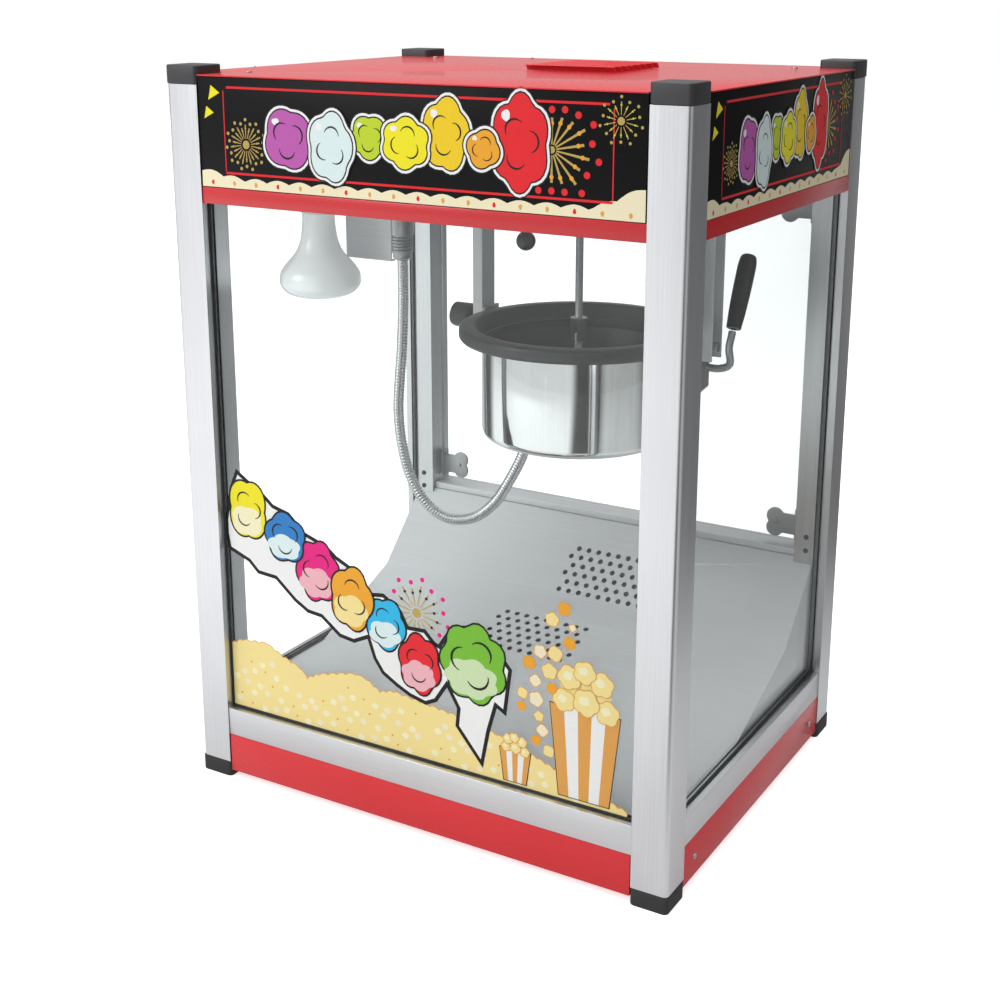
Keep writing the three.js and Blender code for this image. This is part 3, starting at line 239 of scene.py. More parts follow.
# %% Keep a bmesh as a piece
def keep(bm, name, materials, body, replaced=(), slot=None, smooth=35):
    mesh = bpy.data.meshes.new(name)
    bm.normal_update()
    bm.to_mesh(mesh)
    bm.free()
    mesh.polygons.foreach_set("use_smooth", [True] * len(mesh.polygons))
    mesh.set_sharp_from_angle(angle=math.radians(smooth))
    piece = bpy.data.objects.new(name, mesh)
    bpy.context.scene.collection.objects.link(piece)
    for material in materials if isinstance(materials, list) else [materials]:
        mesh.materials.append(material)
    if body:
        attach(piece, body)
    if replaced:
        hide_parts(*replaced)
        slot = slot or slot_of_node[replaced[0]]
    return piece


# %% Bevel, brick, turned shape and prism
def bevel(bm, edges, width, segments=2):
    bmesh.ops.bevel(bm, geom=edges, offset=width, offset_type="OFFSET", segments=segments, profile=0.5,
                    affect="EDGES", clamp_overlap=True, material=-1)


def brick(bm, low, high, edge=0.0004, segments=2):
    low, high = Vector(low), Vector(high)
    made = bmesh.ops.create_cube(bm, size=1)["verts"]
    bmesh.ops.scale(bm, vec=high - low, verts=made)
    bmesh.ops.translate(bm, vec=(low + high) / 2, verts=made)
    if edge:
        bevel(bm, list({e for v in made for e in v.link_edges}), edge, segments)


def along(direction):
    return Vector(direction).normalized().to_track_quat("Z", "Y").to_matrix().to_4x4()


def turned(bm, profile, centre, direction=(0, 0, 1), steps=48):
    """Spins (radius, height) points, which start and end on the axis, once around the direction."""
    verts = [bm.verts.new((r, 0, h)) for r, h in profile]
    edges = [bm.edges.new(pair) for pair in zip(verts, verts[1:])]
    bmesh.ops.spin(bm, geom=verts + edges, cent=(0, 0, 0), axis=(0, 0, 1), angle=math.tau, steps=steps,
                   use_merge=True)
    grown = [v for v in bm.verts if not v.tag]
    bmesh.ops.remove_doubles(bm, verts=grown, dist=1e-6)
    grown = [v for v in bm.verts if not v.tag]
    faces = list({f for v in grown for f in v.link_faces})
    bmesh.ops.recalc_face_normals(bm, faces=faces)
    bmesh.ops.transform(bm, matrix=Matrix.Translation(centre) @ along(direction), verts=grown)
    for v in grown:
        v.tag = True


def prism(bm, outline, place, low, high, index=0):
    """A flat outline of (u, v) points made solid between two depths on the panel that place describes."""
    face = bm.faces.new([bm.verts.new(place(u, v, low)) for u, v in outline])
    grown = bmesh.ops.extrude_face_region(bm, geom=[face])["geom"]
    tops = [g for g in grown if isinstance(g, bmesh.types.BMVert)]
    bmesh.ops.translate(bm, vec=place(0, 0, high) - place(0, 0, low), verts=tops)
    faces = list({f for v in tops for f in v.link_faces} | {face})
    bmesh.ops.recalc_face_normals(bm, faces=faces)
    for f in faces:
        f.material_index = index


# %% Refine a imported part
def refined(node, material, edge=0.0004, segments=2, smooth=35):
    """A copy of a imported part, merged and with its sharp edges broken. It takes the part's place."""
    bm = bmesh.new()
    bm.from_mesh(frame["nodes"][node].data)
    bmesh.ops.remove_doubles(bm, verts=bm.verts[:], dist=1e-6)
    bmesh.ops.dissolve_limit(bm, angle_limit=math.radians(0.6), verts=bm.verts[:], edges=bm.edges[:])
    sharp = [e for e in bm.edges if len(e.link_faces) == 2 and e.calc_face_angle(0) > math.radians(40)]
    bevel(bm, sharp, edge, segments)
    return keep(bm, node + "_piece", material, body_of_node[node], [node], smooth=smooth)


def middle(node):
    low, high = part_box(node)
    return (Vector(low) + Vector(high)) / 2


# %% [markdown]
# ## The armoured hose
# A steel hose carries the heater's wires from the roof to the kettle. It is a strip wound into rings, so it
# is half a metre of a straight ribbed tube, spun in one go, and then bent along its route. It hangs in a
# loop, because the kettle has to tip.

# %% Hose route
HOSE_DIAMETER = 0.012
HOSE_ROUTE = [Vector(p) * MM for p in (
    (-157, 2, 545), (-157, 2, 520), (-157.5, 2, 490), (-160, 2, 445), (-164, 2, 405), (-166, 2, 370),
    (-162, 2, 332), (-150.5, 1.8, 295), (-128.5, 1.6, 266.5), (-99.5, 1.3, 255), (-66, 1, 262.5),
    (-39, 0.7, 285), (-20.5, 0.4, 313), (-8, 0.1, 336), (-2.6, 0, 349), (-2, 0, 356.2))]


def smooth_route(points, pieces=10):
    """Catmull-Rom points through a given route."""
    ends = [2 * points[0] - points[1], *points, 2 * points[-1] - points[-2]]
    line = []
    for a, b, c, d in zip(ends, ends[1:], ends[2:], ends[3:]):
        for k in range(pieces):
            t = k / pieces
            line.append(0.5 * (2 * b + (c - a) * t + (2 * a - 5 * b + 4 * c - d) * t ** 2
                               + (3 * b - a - 3 * c + d) * t ** 3))
    return line + [points[-1]]


hose_line = smooth_route(HOSE_ROUTE)
hose_length = sum((b - a).length for a, b in zip(hose_line, hose_line[1:]))
print("hose length", round(hose_length, 3), "m")

# %% Hose
HOSE_RIB_PITCH = 0.0036
HOSE_RIB_DEPTH = 0.0009


def bend_along(bm, line, total):
    """Moves a shape that stands along Z onto a line, height for height, with no twist."""
    lengths = [0.0]
    for a, b in zip(line, line[1:]):
        lengths.append(lengths[-1] + (b - a).length)
    side = Vector((0, 1, 0))
    frames = []
    for k, point in enumerate(line):
        ahead = (line[min(k + 1, len(line) - 1)] - line[max(k - 1, 0)]).normalized()
        side = (side - ahead * side.dot(ahead)).normalized()
        frames.append((point, side.copy(), ahead.cross(side)))
    for v in bm.verts:
        s = min(max(v.co.z, 0), total)
        k = max(0, min(len(line) - 2, next((i for i, d in enumerate(lengths) if d > s), len(line)) - 1))
        t = (s - lengths[k]) / (lengths[k + 1] - lengths[k])
        point, across, over = (p.lerp(q, t) for p, q in zip(frames[k], frames[k + 1]))
        v.co = point + across.normalized() * v.co.x + over.normalized() * v.co.y


def make_hose():
    bm = bmesh.new()
    radius = HOSE_DIAMETER / 2
    ribs = round(hose_length / HOSE_RIB_PITCH)
    pitch = hose_length / ribs
    profile = [(0, 0)]
    for k in range(ribs):
        z = k * pitch
        profile += [(radius - HOSE_RIB_DEPTH, z), (radius, z + 0.25 * pitch), (radius, z + 0.7 * pitch),
                    (radius - HOSE_RIB_DEPTH, z + 0.95 * pitch)]
    turned(bm, profile + [(0, hose_length)], (0, 0, 0), steps=20)
    bend_along(bm, hose_line, hose_length)
    hose = keep(bm, "hose_piece", hose_steel, None, smooth=50)
    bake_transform(hose)
    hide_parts("conduit")


make_hose()

# %% [markdown]
# ## Posts, caps and feet
# The posts are extrusions with a rounded outer corner and slots that hold the glass. The caps are moulded,
# with soft edges, and the feet are rubber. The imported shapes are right, so they are refined, with a wide
# bevel on the mouldings and a fine one on the metal.

# %% Posts, caps and feet
CORNERS = [f"{depth}_{side}" for depth in ("front", "rear") for side in ("left", "right")]
for corner in CORNERS:
    refined(f"post_{corner}", aluminium, 0.0003, 1)
    refined(f"post_cap_{corner}", cap_black, 0.0014, 3)
    refined(f"foot_{corner}", foot_rubber, 0.0012, 3)
print("corners", len(CORNERS))

# %% [markdown]
# ## Sheet metal, glass and the small metal parts
# Folded sheet has a small radius at each fold, panes have ground edges and castings have soft ones. One
# table says which finish and which edge each part gets.

# %% Refined parts
REFINED_PARTS = [
    ("base_tray", red_enamel, 0.0008, 2), ("header_trim", trim_red, 0.0006, 2),
    ("top_cover", red_enamel, 0.0007, 2), ("glass_rail_front", rail_metal, 0.0004, 2),
    ("glass_rail_left", rail_metal, 0.0004, 2), ("glass_rail_right", rail_metal, 0.0004, 2),
    ("glass_front", pane_glass, 0.0005, 1), ("glass_left", pane_glass, 0.0005, 1),
    ("glass_right", pane_glass, 0.0005, 1), ("ceiling_plate", sheet_metal, 0.0003, 1),
    ("sign_panel_front", sign_black, 0.0004, 2), ("sign_panel_left", sign_black, 0.0004, 2),
    ("sign_panel_right", sign_black, 0.0004, 2), ("sign_panel_rear", sign_black, 0.0004, 2),
    ("popcorn_deck", sheet_metal, 0.0002, 1), ("rear_sill", sheet_metal, 0.0005, 2),
    ("rear_panel", sheet_metal, 0.0002, 1), ("crumb_drawer", sheet_metal, 0.0004, 2),
    ("door_left", door_acrylic, 0.0006, 2), ("door_right", door_acrylic, 0.0006, 2),
    ("door_hinge_left_lower", cast_metal, 0.0005, 2), ("door_hinge_left_upper", cast_metal, 0.0005, 2),
    ("door_hinge_right_lower", cast_metal, 0.0005, 2), ("door_hinge_right_upper", cast_metal, 0.0005, 2),
    ("rocker_heat", switch_red, 0.0007, 2), ("rocker_stir", switch_red, 0.0007, 2),
    ("rocker_light", switch_red, 0.0007, 2), ("lamp_shield", sheet_metal, 0.0003, 1),
    ("hanger_left", sheet_metal, 0.0003, 1), ("hanger_right", sheet_metal, 0.0003, 1),
    ("drive_motor", motor_paint, 0.001, 2), ("drive_shaft", screw_steel, 0.0003, 1),
    ("kettle_bracket_left", cast_metal, 0.0006, 2), ("handle_bracket", cast_metal, 0.0004, 2),
    ("kettle_heater", cast_metal, 0.0008, 2), ("agitator", sheet_metal, 0.0004, 2),
    ("kettle_gland", brass, 0.0005, 2),
]
for node, material, edge, segments in REFINED_PARTS:
    refined(node, material, edge, segments)
print("refined", len(REFINED_PARTS))

# %% [markdown]
# ## The kettle
# The kettle is a dark coated pot with a broad rolled rim, standing in a polished steel jacket. Both are
# round, so each is one profile spun around the kettle's axis. The jacket's skin has to be smooth, because a
# mirror shows every facet.

# %% Pot and jacket
KETTLE_STEPS = 128
pot_low, pot_high = (Vector(corner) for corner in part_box("kettle_pot"))
shell_low, shell_high = (Vector(corner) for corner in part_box("kettle_shell"))
kettle_axis = middle("kettle_pot").to_2d().to_3d()
SHELL_WALL = 0.0015
POT_WALL = 0.004
RIM_WIDTH = 0.017


def arc(centre, radius, first, last, steps=6):
    """Points of a round corner, from angle first to angle last in degrees."""
    turns = (math.radians(first + (last - first) * k / steps) for k in range(steps + 1))
    return [(centre[0] + radius * math.cos(a), centre[1] + radius * math.sin(a)) for a in turns]


def make_jacket():
    bm = bmesh.new()
    r, low, high, corner = shell_high.x - kettle_axis.x, shell_low.z, shell_high.z, 0.009
    profile = [(0, low)] + arc((r - corner, low + corner), corner, -90, 0)
    profile += arc((r - SHELL_WALL / 2, high - SHELL_WALL / 2), SHELL_WALL / 2, 0, 180, 4)
    profile += arc((r - corner, low + corner), corner - SHELL_WALL, 0, -90) + [(0, low + SHELL_WALL)]
    turned(bm, profile, kettle_axis, steps=KETTLE_STEPS)
    keep(bm, "kettle_jacket", mirror_steel, "kettle", ["kettle_shell"])


def make_pot():
    bm = bmesh.new()
    rim, top = pot_high.x - kettle_axis.x, pot_high.z
    shell_top, floor = shell_high.z, pot_low.z + POT_WALL
    wall = shell_high.x - kettle_axis.x - SHELL_WALL - 0.002
    mouth = rim - RIM_WIDTH
    profile = [(0, floor - POT_WALL)] + arc((wall - 0.007, floor + 0.003), 0.007, -90, 0, 4)
    profile += [(wall, shell_top - 0.006), (wall + 0.001, shell_top + 0.0003)]
    profile += [(wall + 0.0055, shell_top + 0.0003), (rim - 0.002, top - 0.014)]
    profile += arc((rim - 0.0025, top - 0.0105), 0.0025, -60, 0, 3)
    profile += arc((rim - 0.004, top - 0.0045), 0.004, 0, 80, 4)
    profile += [(mouth + 0.005, top)] + arc((mouth + 0.003, top - 0.003), 0.003, 100, 180, 4)
    profile += [(mouth - 0.0045, top - 0.012), (wall - POT_WALL, shell_top - 0.016)]
    profile += arc((wall - POT_WALL - 0.006, floor + 0.006), 0.006, 0, -90, 4) + [(0, floor)]
    turned(bm, profile, kettle_axis, steps=KETTLE_STEPS)
    keep(bm, "kettle_pot_piece", pot_dark, "kettle", ["kettle_pot"], smooth=50)


make_jacket()
make_pot()
print("kettle axis", [round(v, 4) for v in kettle_axis])

# %% [markdown]
# ## Lamp, knobs and grip
# These are turned or moulded round pieces too. Each profile is a short list of radii and heights, and a
# curve through them where the real surface is smooth.

# %% Lamp
def flowing(points, pieces=5):
    """A smooth profile through (radius, height) points, kept off the axis."""
    line = smooth_route([Vector((r, h, 0)) for r, h in points], pieces)
    return [(max(0.0, p.x), p.y) for p in line]


lamp_low, lamp_high = (Vector(corner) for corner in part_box("lamp_bulb"))
lamp_axis = middle("lamp_bulb").to_2d().to_3d()


def make_lamp():
    bm = bmesh.new()
    z, r, tall = lamp_low.z, lamp_high.x - lamp_axis.x, lamp_high.z - lamp_low.z
    dome = [(0, z), (0.45 * r, z + 0.012 * tall), (0.8 * r, z + 0.06 * tall), (0.97 * r, z + 0.14 * tall),
            (r, z + 0.23 * tall), (0.955 * r, z + 0.32 * tall), (0.8 * r, z + 0.42 * tall),
            (0.6 * r, z + 0.53 * tall), (0.475 * r, z + 0.66 * tall), (0.42 * r, z + 0.8 * tall),
            (0.398 * r, z + 0.93 * tall), (0.396 * r, z + tall)]
    turned(bm, flowing(dome) + [(0, z + tall)], lamp_axis, steps=64)
    keep(bm, "lamp_reflector_bulb", lamp_glass, "cabinet", ["lamp_bulb"], smooth=60)


def make_socket():
    bm = bmesh.new()
    low, high = (corner[2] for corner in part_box("lamp_socket"))
    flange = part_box("lamp_socket")[1][0] - lamp_axis.x
    body = flange - 0.005
    profile = [(0, low), (body - 0.004, low), (body - 0.001, low + 0.002)]
    for k in range(4):
        z = low + 0.004 + k * 0.0045
        profile += [(body, z), (body, z + 0.0025), (body - 0.0012, z + 0.0032), (body - 0.0012, z + 0.0042)]
    profile += [(body, high - 0.008), (flange - 0.001, high - 0.007), (flange, high - 0.006),
                (flange, high - 0.0006), (flange - 0.0006, high), (0, high)]
    turned(bm, profile, lamp_axis, steps=64)
    keep(bm, "lamp_socket_piece", ceramic, "cabinet", ["lamp_socket"])


make_lamp()
make_socket()
print("lamp width", round((lamp_high.x - lamp_low.x) * 1000, 1), "mm")

# %% Door knobs
def make_door_knob(side):
    node = f"door_knob_{side}"
    low, high = (Vector(corner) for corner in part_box(node))
    centre = Vector((middle(node).x, low.y, middle(node).z))
    r, length = (high.x - low.x) / 2, high.y - low.y
    bm = bmesh.new()
    profile = [(0, 0), (0.55 * r, 0), (0.55 * r, 0.3 * length), (0.62 * r, 0.36 * length),
               (0.9 * r, 0.42 * length)]
    profile += arc((0.85 * r, 0.6 * length), 0.15 * r, -60, 0, 4) + [(r, 0.8 * length)]
    profile += arc((0.85 * r, 0.85 * length), 0.15 * r, 0, 80, 4) + [(0.5 * r, length),
                                                                     (0.4 * r, 0.95 * length),
                                                                     (0, 0.94 * length)]
    turned(bm, profile, centre, (0, 1, 0), 40)
    keep(bm, f"{node}_piece", knob_grey, f"door_{side}", [node])


for side in ("left", "right"):
    make_door_knob(side)

# %% Handle grip, pivot nut and pull knob
def make_grip():
    low, high = (Vector(corner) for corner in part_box("handle_grip"))
    r = (high.x - low.x) / 2
    lean = math.atan2(37, 74)
    direction = Vector((0, math.sin(lean), math.cos(lean)))
    start = Vector((middle("handle_grip").x, low.y + r * math.cos(lean), low.z + r * math.sin(lean)))
    length = (high.z - low.z - 2 * r * math.sin(lean)) / math.cos(lean)
    bore = 0.0043
    profile = [(0, length * 0.85), (bore, length * 0.85), (bore, 0), (0.72 * r, 0), (0.8 * r, 0.001)]
    swell = [(0.8, 0.02), (0.86, 0.12), (0.94, 0.3), (0.98, 0.5), (1.0, 0.7), (0.98, 0.86), (0.86, 0.955),
             (0.6, 0.992), (0.25, 1.0)]
    profile += flowing([(r * a, length * b) for a, b in swell], 3) + [(0, length)]
    bm = bmesh.new()
    turned(bm, profile, start, direction, 40)
    keep(bm, "handle_grip_piece", grip_black, "kettle", ["handle_grip"])


def make_pivot_nut():
    low, high = (Vector(corner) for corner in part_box("pivot_nut"))
    centre, r, length = middle("pivot_nut"), (high.z - low.z) / 2, high.x - low.x
    bm = bmesh.new()
    profile = [(0, 0), (0.5 * r, 0), (0.5 * r, 0.12 * length), (0.8 * r, 0.16 * length), (r, 0.24 * length),
               (r, 0.86 * length), (0.86 * r, length), (0.4 * r, length), (0.34 * r, 0.96 * length),
               (0, 0.96 * length)]
    turned(bm, profile, (high.x, centre.y, centre.z), (-1, 0, 0), 48)
    keep(bm, "pivot_nut_piece", grip_black, "kettle", ["pivot_nut"])


def make_pull_knob():
    low, high = (Vector(corner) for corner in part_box("pull_knob"))
    centre = middle("pull_knob").to_2d().to_3d()
    ball = (high.x - low.x) / 2
    bm = bmesh.new()
    rod, top = 0.003, high.z
    profile = [(0, low.z)] + arc((0, low.z + ball), ball, -75, 55, 12)
    profile += [(0.0045, low.z + 2 * ball), (rod, low.z + 2 * ball + 0.002), (rod, top - 0.006),
                (0.006, top - 0.006), (0.006, top), (0, top)]
    turned(bm, profile, centre, steps=40)
    keep(bm, "pull_knob_piece", grip_black, "pull_knob", ["pull_knob"])


make_grip()
make_pivot_nut()
make_pull_knob()

# %% Hose connector
def make_connector():
    low, high = (Vector(corner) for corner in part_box("conduit_connector"))
    centre = Vector((HOSE_ROUTE[0].x, HOSE_ROUTE[0].y, 0))
    r = 0.013
    bm = bmesh.new()
    z = low.z
    profile = [(0, z), (0.009, z), (0.0105, z + 0.0015), (0.0105, z + 0.006)]
    for k in range(5):
        base = z + 0.008 + k * 0.0035
        profile += [(0.0118, base), (0.0118, base + 0.002), (0.011, base + 0.0028)]
    profile += [(r, z + 0.028), (r, z + 0.066), (0.0145, z + 0.0675), (0.0152, z + 0.07),
                (0.0152, z + 0.082), (r, z + 0.084), (r, high.z), (0, high.z)]
    turned(bm, profile, centre, steps=48)
    keep(bm, "hose_connector_piece", cast_metal, "cabinet", ["conduit_connector"])


make_connector()
print("round pieces done")

# %% [markdown]
# ## Screws and other fasteners
# A fastener is a shallow domed head with a small round recess for the driver, turned in one piece. One
# helper places a head anywhere, facing any way.

# %% Screws
def screw(bm, place, direction, radius=0.0032, height=0.0016):
    dome = [(0, 0), (radius, 0), (radius, 0.3 * height), (0.85 * radius, 0.75 * height),
            (0.45 * radius, height), (0.3 * radius, height), (0.22 * radius, 0.55 * height),
            (0, 0.5 * height)]
    turned(bm, dome, Vector(place), direction, 16)


def screws(name, places, direction, material=None, radius=0.0032, body="cabinet"):
    bm = bmesh.new()
    for place in places:
        screw(bm, place, direction, radius)
    return keep(bm, name, material or screw_steel, body, slot="shaft_steel")


FACE_X, FACE_Y, PANEL_FACE = 0.2782, 0.2232, 0.2064
CLEAR = 0.0001
COVER_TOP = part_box("top_cover")[1][2]
REAR, FRONT, UP = (0, 1, 0), (0, -1, 0), (0, 0, 1)
panel_spots = [(x, PANEL_FACE + 0.0002, z) for x in (-0.232, 0.232) for z in (0.062, 0.128, 0.198)]
screws("rear_panel_screws", panel_spots, REAR)
screws("sill_screws", [(x, FACE_Y + 0.0002, 0.2145) for x in (-0.2, 0, 0.2)], REAR, radius=0.0026)
for side, sign in (("left", -1), ("right", 1)):
    spots = [(sign * (FACE_X + CLEAR), y, 0.029) for y in (-0.16, 0.16)]
    screws(f"base_screws_{side}", spots, (sign, 0, 0))
screws("cover_screws", [(x, y, COVER_TOP + CLEAR) for x in (-0.22, 0.22) for y in (-0.17, 0.17)], UP)

for side, sign, heights in (("left", -1, (0.216, 0.233)), ("right", 1, (0.224, 0.24))):
    spots = [(sign * 0.2545, 0.1861, z) for z in heights]
    screws(f"hinge_post_screws_{side}", spots, FRONT, gasket_rubber, 0.003)
for side, sign in (("left", -1), ("right", 1)):
    low, high = (Vector(corner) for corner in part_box(f"hanger_{side}"))
    out = low.x - CLEAR if side == "left" else high.x + CLEAR
    spots = [(out, (low.y + high.y) / 2 + dy, high.z - 0.012) for dy in (-0.006, 0.006)]
    screws(f"hanger_screws_{side}", spots, (sign, 0, 0), radius=0.0028)
    for end in ("lower", "upper"):
        leaf_low, leaf_high = (Vector(corner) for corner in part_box(f"door_hinge_{side}_{end}"))
        spots = [(sign * 0.212, leaf_low.y - CLEAR, (leaf_low.z + leaf_high.z) / 2)]
        screws(f"hinge_screw_{side}_{end}", spots, FRONT, radius=0.0026, body=f"door_{side}")

# %% Pivot clip
def make_clip():
    """A black spring clip sits over the pivot nut and keeps the kettle on its pivot."""
    low, high = (Vector(corner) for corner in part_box("pivot_nut"))
    centre, r = middle("pivot_nut"), (high.z - low.z) / 2
    bm = bmesh.new()
    pivot = (centre.y, centre.z)
    band = arc(pivot, r + 0.0032, 20, 160, 12) + arc(pivot, r + 0.0008, 160, 20, 12)
    prism(bm, band, lambda u, v, depth: Vector((depth, u, v)), low.x + 0.003, high.x - 0.003)
    keep(bm, "pivot_clip", cap_black, "kettle", slot="knob_plastic", smooth=50)


make_clip()

# %% [markdown]
# ## Gaskets
# Glass never touches metal. A black rubber strip fills the slot on both sides of each pane, and it shows as
# a thin dark line along the posts and the rails. Each strip is a bevelled bar.

# %% Gaskets
STRIP, STRIP_DEPTH = 0.0024, 0.001
RAIL_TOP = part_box("glass_rail_front")[1][2]


def gaskets():
    bm = bmesh.new()
    post_x, post_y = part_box("post_front_right")[0][0], -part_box("post_front_right")[1][1]
    low, high = RAIL_TOP + CLEAR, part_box("header_trim")[0][2] - 2 * CLEAR
    for pane in ("front", "left", "right"):
        pane_low, pane_high = (Vector(corner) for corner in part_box(f"glass_{pane}"))
        across = 1 if pane == "front" else 0
        reach = post_x if pane == "front" else post_y
        inner, outer = pane_low[across] - CLEAR, pane_high[across] + CLEAR
        for near, far in ((inner - STRIP_DEPTH, inner), (outer, outer + STRIP_DEPTH)):
            for start, stop, top in ((CLEAR - reach, STRIP - reach, high),
                                     (reach - STRIP, reach - CLEAR, high),
                                     (STRIP - reach, reach - STRIP, RAIL_TOP + STRIP)):
                ends = ((start, near, low), (stop, far, top))
                if pane != "front":
                    ends = tuple((b, a, c) for a, b, c in ends)
                brick(bm, *ends, edge=0.0003, segments=1)
    keep(bm, "glazing_gaskets", gasket_rubber, "cabinet", slot="foot_rubber")


gaskets()
print("glass from", round(RAIL_TOP, 3), "m up")

# %% [markdown]
# ## Vents and switch frames
# The vents in the roof are slots with a pressed hood over each one, open on one side, so that warm air
# leaves and nothing falls in. A hood is a thin arc drawn from the side and made as long as its slot. The
# switches sit in black frames that clip into the rear panel.

# %% Vent hoods
VENT_MIDDLE, VENT_LONG, VENT_PITCH, VENT_COUNT = (0.05, 0.045), 0.096, 0.014, 8
HOOD_REACH, HOOD_SHEET, HOOD_LAP = 0.0066, 0.0008, 0.002


def vent_hoods():
    bm = bmesh.new()
    for k in range(VENT_COUNT):
        y = VENT_MIDDLE[1] + (k - (VENT_COUNT - 1) / 2) * VENT_PITCH
        half = VENT_LONG / 2 + HOOD_LAP
        foot = (y - 0.0028, CLEAR)
        outline = arc(foot, HOOD_REACH, 4, 70, 5) + arc(foot, HOOD_REACH - HOOD_SHEET, 70, 4, 5)
        prism(bm, outline, lambda u, v, depth: Vector((depth, u, COVER_TOP + v)), VENT_MIDDLE[0] - half,
              VENT_MIDDLE[0] + half)
    keep(bm, "vent_hoods", red_enamel, "cabinet", slot="red_paint", smooth=50)


vent_hoods()

# %% Switch frames
SWITCHES = ("rocker_heat", "rocker_stir", "rocker_light")
FRAME_WIDTH = 0.0026


def switch_frames():
    bm = bmesh.new()
    out, proud = PANEL_FACE + CLEAR, PANEL_FACE + 0.0022
    for node in SWITCHES:
        centre = middle(node)
        x0, z0 = 0.0086, 0.0132
        x1, z1 = x0 + FRAME_WIDTH, z0 + FRAME_WIDTH
        for side in (-1, 1):
            a, b = sorted((centre.x + side * x0, centre.x + side * x1))
            brick(bm, (a, out, centre.z - z1), (b, proud, centre.z + z1), 0.0004)
            a, b = sorted((centre.z + side * z0, centre.z + side * z1))
            brick(bm, (centre.x - x0, out, a), (centre.x + x0, proud, b), 0.0004)
    keep(bm, "switch_frames", cap_black, "cabinet", slot="cap_plastic")


switch_frames()
print("vents", VENT_COUNT, "switches", len(SWITCHES))

# %% [markdown]
# ## The painted sign
# The black boards round the roof carry a printed night sky: thin red lines, bursts of gold fireworks, fat
# coloured popcorn and a cream border of popcorn along the lower edge. Each colour is a thin flat layer of
# ink, less than a tenth of a millimetre over the one below, so the print stays sharp from every side.

# %% Inks
def ink(name, colour, rough=(0.28, 0.4)):
    return finish("ink_" + name, tuple(0.86 * c for c in colour), colour, rough, 0.0, 900, lift=0.001,
                  Specular_IOR_Level=0.3)


INKS = {"black": (0.004, 0.004, 0.005), "white": (0.86, 0.87, 0.86), "cream": (0.88, 0.8, 0.55),
        "red": (0.78, 0.012, 0.02), "gold": (0.5, 0.36, 0.09), "yellow": (0.87, 0.78, 0.01),
        "purple": (0.5, 0.1, 0.42), "ice": (0.7, 0.84, 0.84), "lime": (0.52, 0.66, 0.02),
        "amber": (0.87, 0.6, 0.01), "orange": (0.85, 0.38, 0.02), "magenta": (0.8, 0.005, 0.22),
        "blue": (0.02, 0.2, 0.55), "cyan": (0.02, 0.47, 0.8), "green": (0.18, 0.5, 0.03),
        "corn": (0.9, 0.74, 0.3), "toffee": (0.75, 0.36, 0.08), "pink": (0.85, 0.45, 0.5),
        "pale_yellow": (0.9, 0.85, 0.55), "pale_green": (0.6, 0.75, 0.45)}
ink_materials = [ink(name, colour) for name, colour in INKS.items()]
ink_index = {name: k for k, name in enumerate(INKS)}
INK_STEP, INK_BASE = 0.00008, 0.00004


def paint(bm, outline, place, colour, level):
    low = INK_BASE + level * INK_STEP
    prism(bm, outline, place, low, INK_BASE + (level + 1) * INK_STEP, ink_index[colour])


def keep_print(bm, name):
    used = sorted({f.material_index for f in bm.faces})
    for f in bm.faces:
        f.material_index = used.index(f.material_index)
    return keep(bm, name, [ink_materials[k] for k in used], "cabinet", slot="sign_print")


# %% Print motifs
def puff(centre, width, height, lobes=5, turn=0.0, grow=0.0, points=40):
    """The outline of a popped kernel: round lobes that meet in small notches."""
    outline = []
    for k in range(points):
        a = math.tau * k / points
        r = 0.84 + 0.16 * abs(math.sin(lobes * a / 2 + turn))
        outline.append((centre[0] + (width / 2 * r + grow) * math.cos(a),
                        centre[1] + (height / 2 * r + grow) * math.sin(a)))
    return outline


def disc(centre, radius, points=12):
    return [(centre[0] + radius * math.cos(math.tau * k / points),
             centre[1] + radius * math.sin(math.tau * k / points)) for k in range(points)]


def burst(bm, centre, radius, rays, place, colours, level, inner=0.25, room=(0, 1)):
    """A firework: tapered rays with a dot at each end; rays shorten where they would leave the room."""
    ray_colour, near_colour, far_colour = colours
    for k in range(rays):
        a = math.tau * (k + 0.5) / rays
        rise = math.sin(a)
        space = (room[1] - centre[1]) / rise if rise > 0 else (room[0] - centre[1]) / rise
        reach = min(radius * (1 if k % 2 else 0.86), space - 0.1 * radius)
        out, across = Vector((math.cos(a), math.sin(a))), Vector((-math.sin(a), math.cos(a)))
        c = Vector(centre)
        width = 0.014 * radius
        tail, tip = c + out * radius * inner, c + out * reach * 0.8
        paint(bm, [tail + across * width, tail - across * width, tip - across * width * 2,
                   tip + across * width * 2], place, ray_colour, level)
        paint(bm, disc(c + out * reach * 0.66, 0.045 * radius, 8), place, near_colour, level + 1)
        paint(bm, disc(c + out * reach, 0.07 * radius, 10), place, far_colour, level)
    paint(bm, disc(centre, inner * radius * 0.7, 12), place, ray_colour, level)


def creases(bm, centre, width, height, place, level, turn):
    """Three curved strokes inside a kernel, where its popped lobes fold over each other."""
    size = min(width, height)
    for j in range(3):
        a = turn + math.tau * j / 3
        spot = (centre[0] + 0.17 * width * math.cos(a), centre[1] + 0.17 * height * math.sin(a))
        first = math.degrees(a) - 78
        outer = arc(spot, 0.17 * size, first, first + 156, 8)
        inner = arc((spot[0] - 0.028 * size * math.cos(a), spot[1] - 0.028 * size * math.sin(a)),
                    0.165 * size, first + 156, first, 8)
        paint(bm, outer + inner, place, "black", level + j % 2)


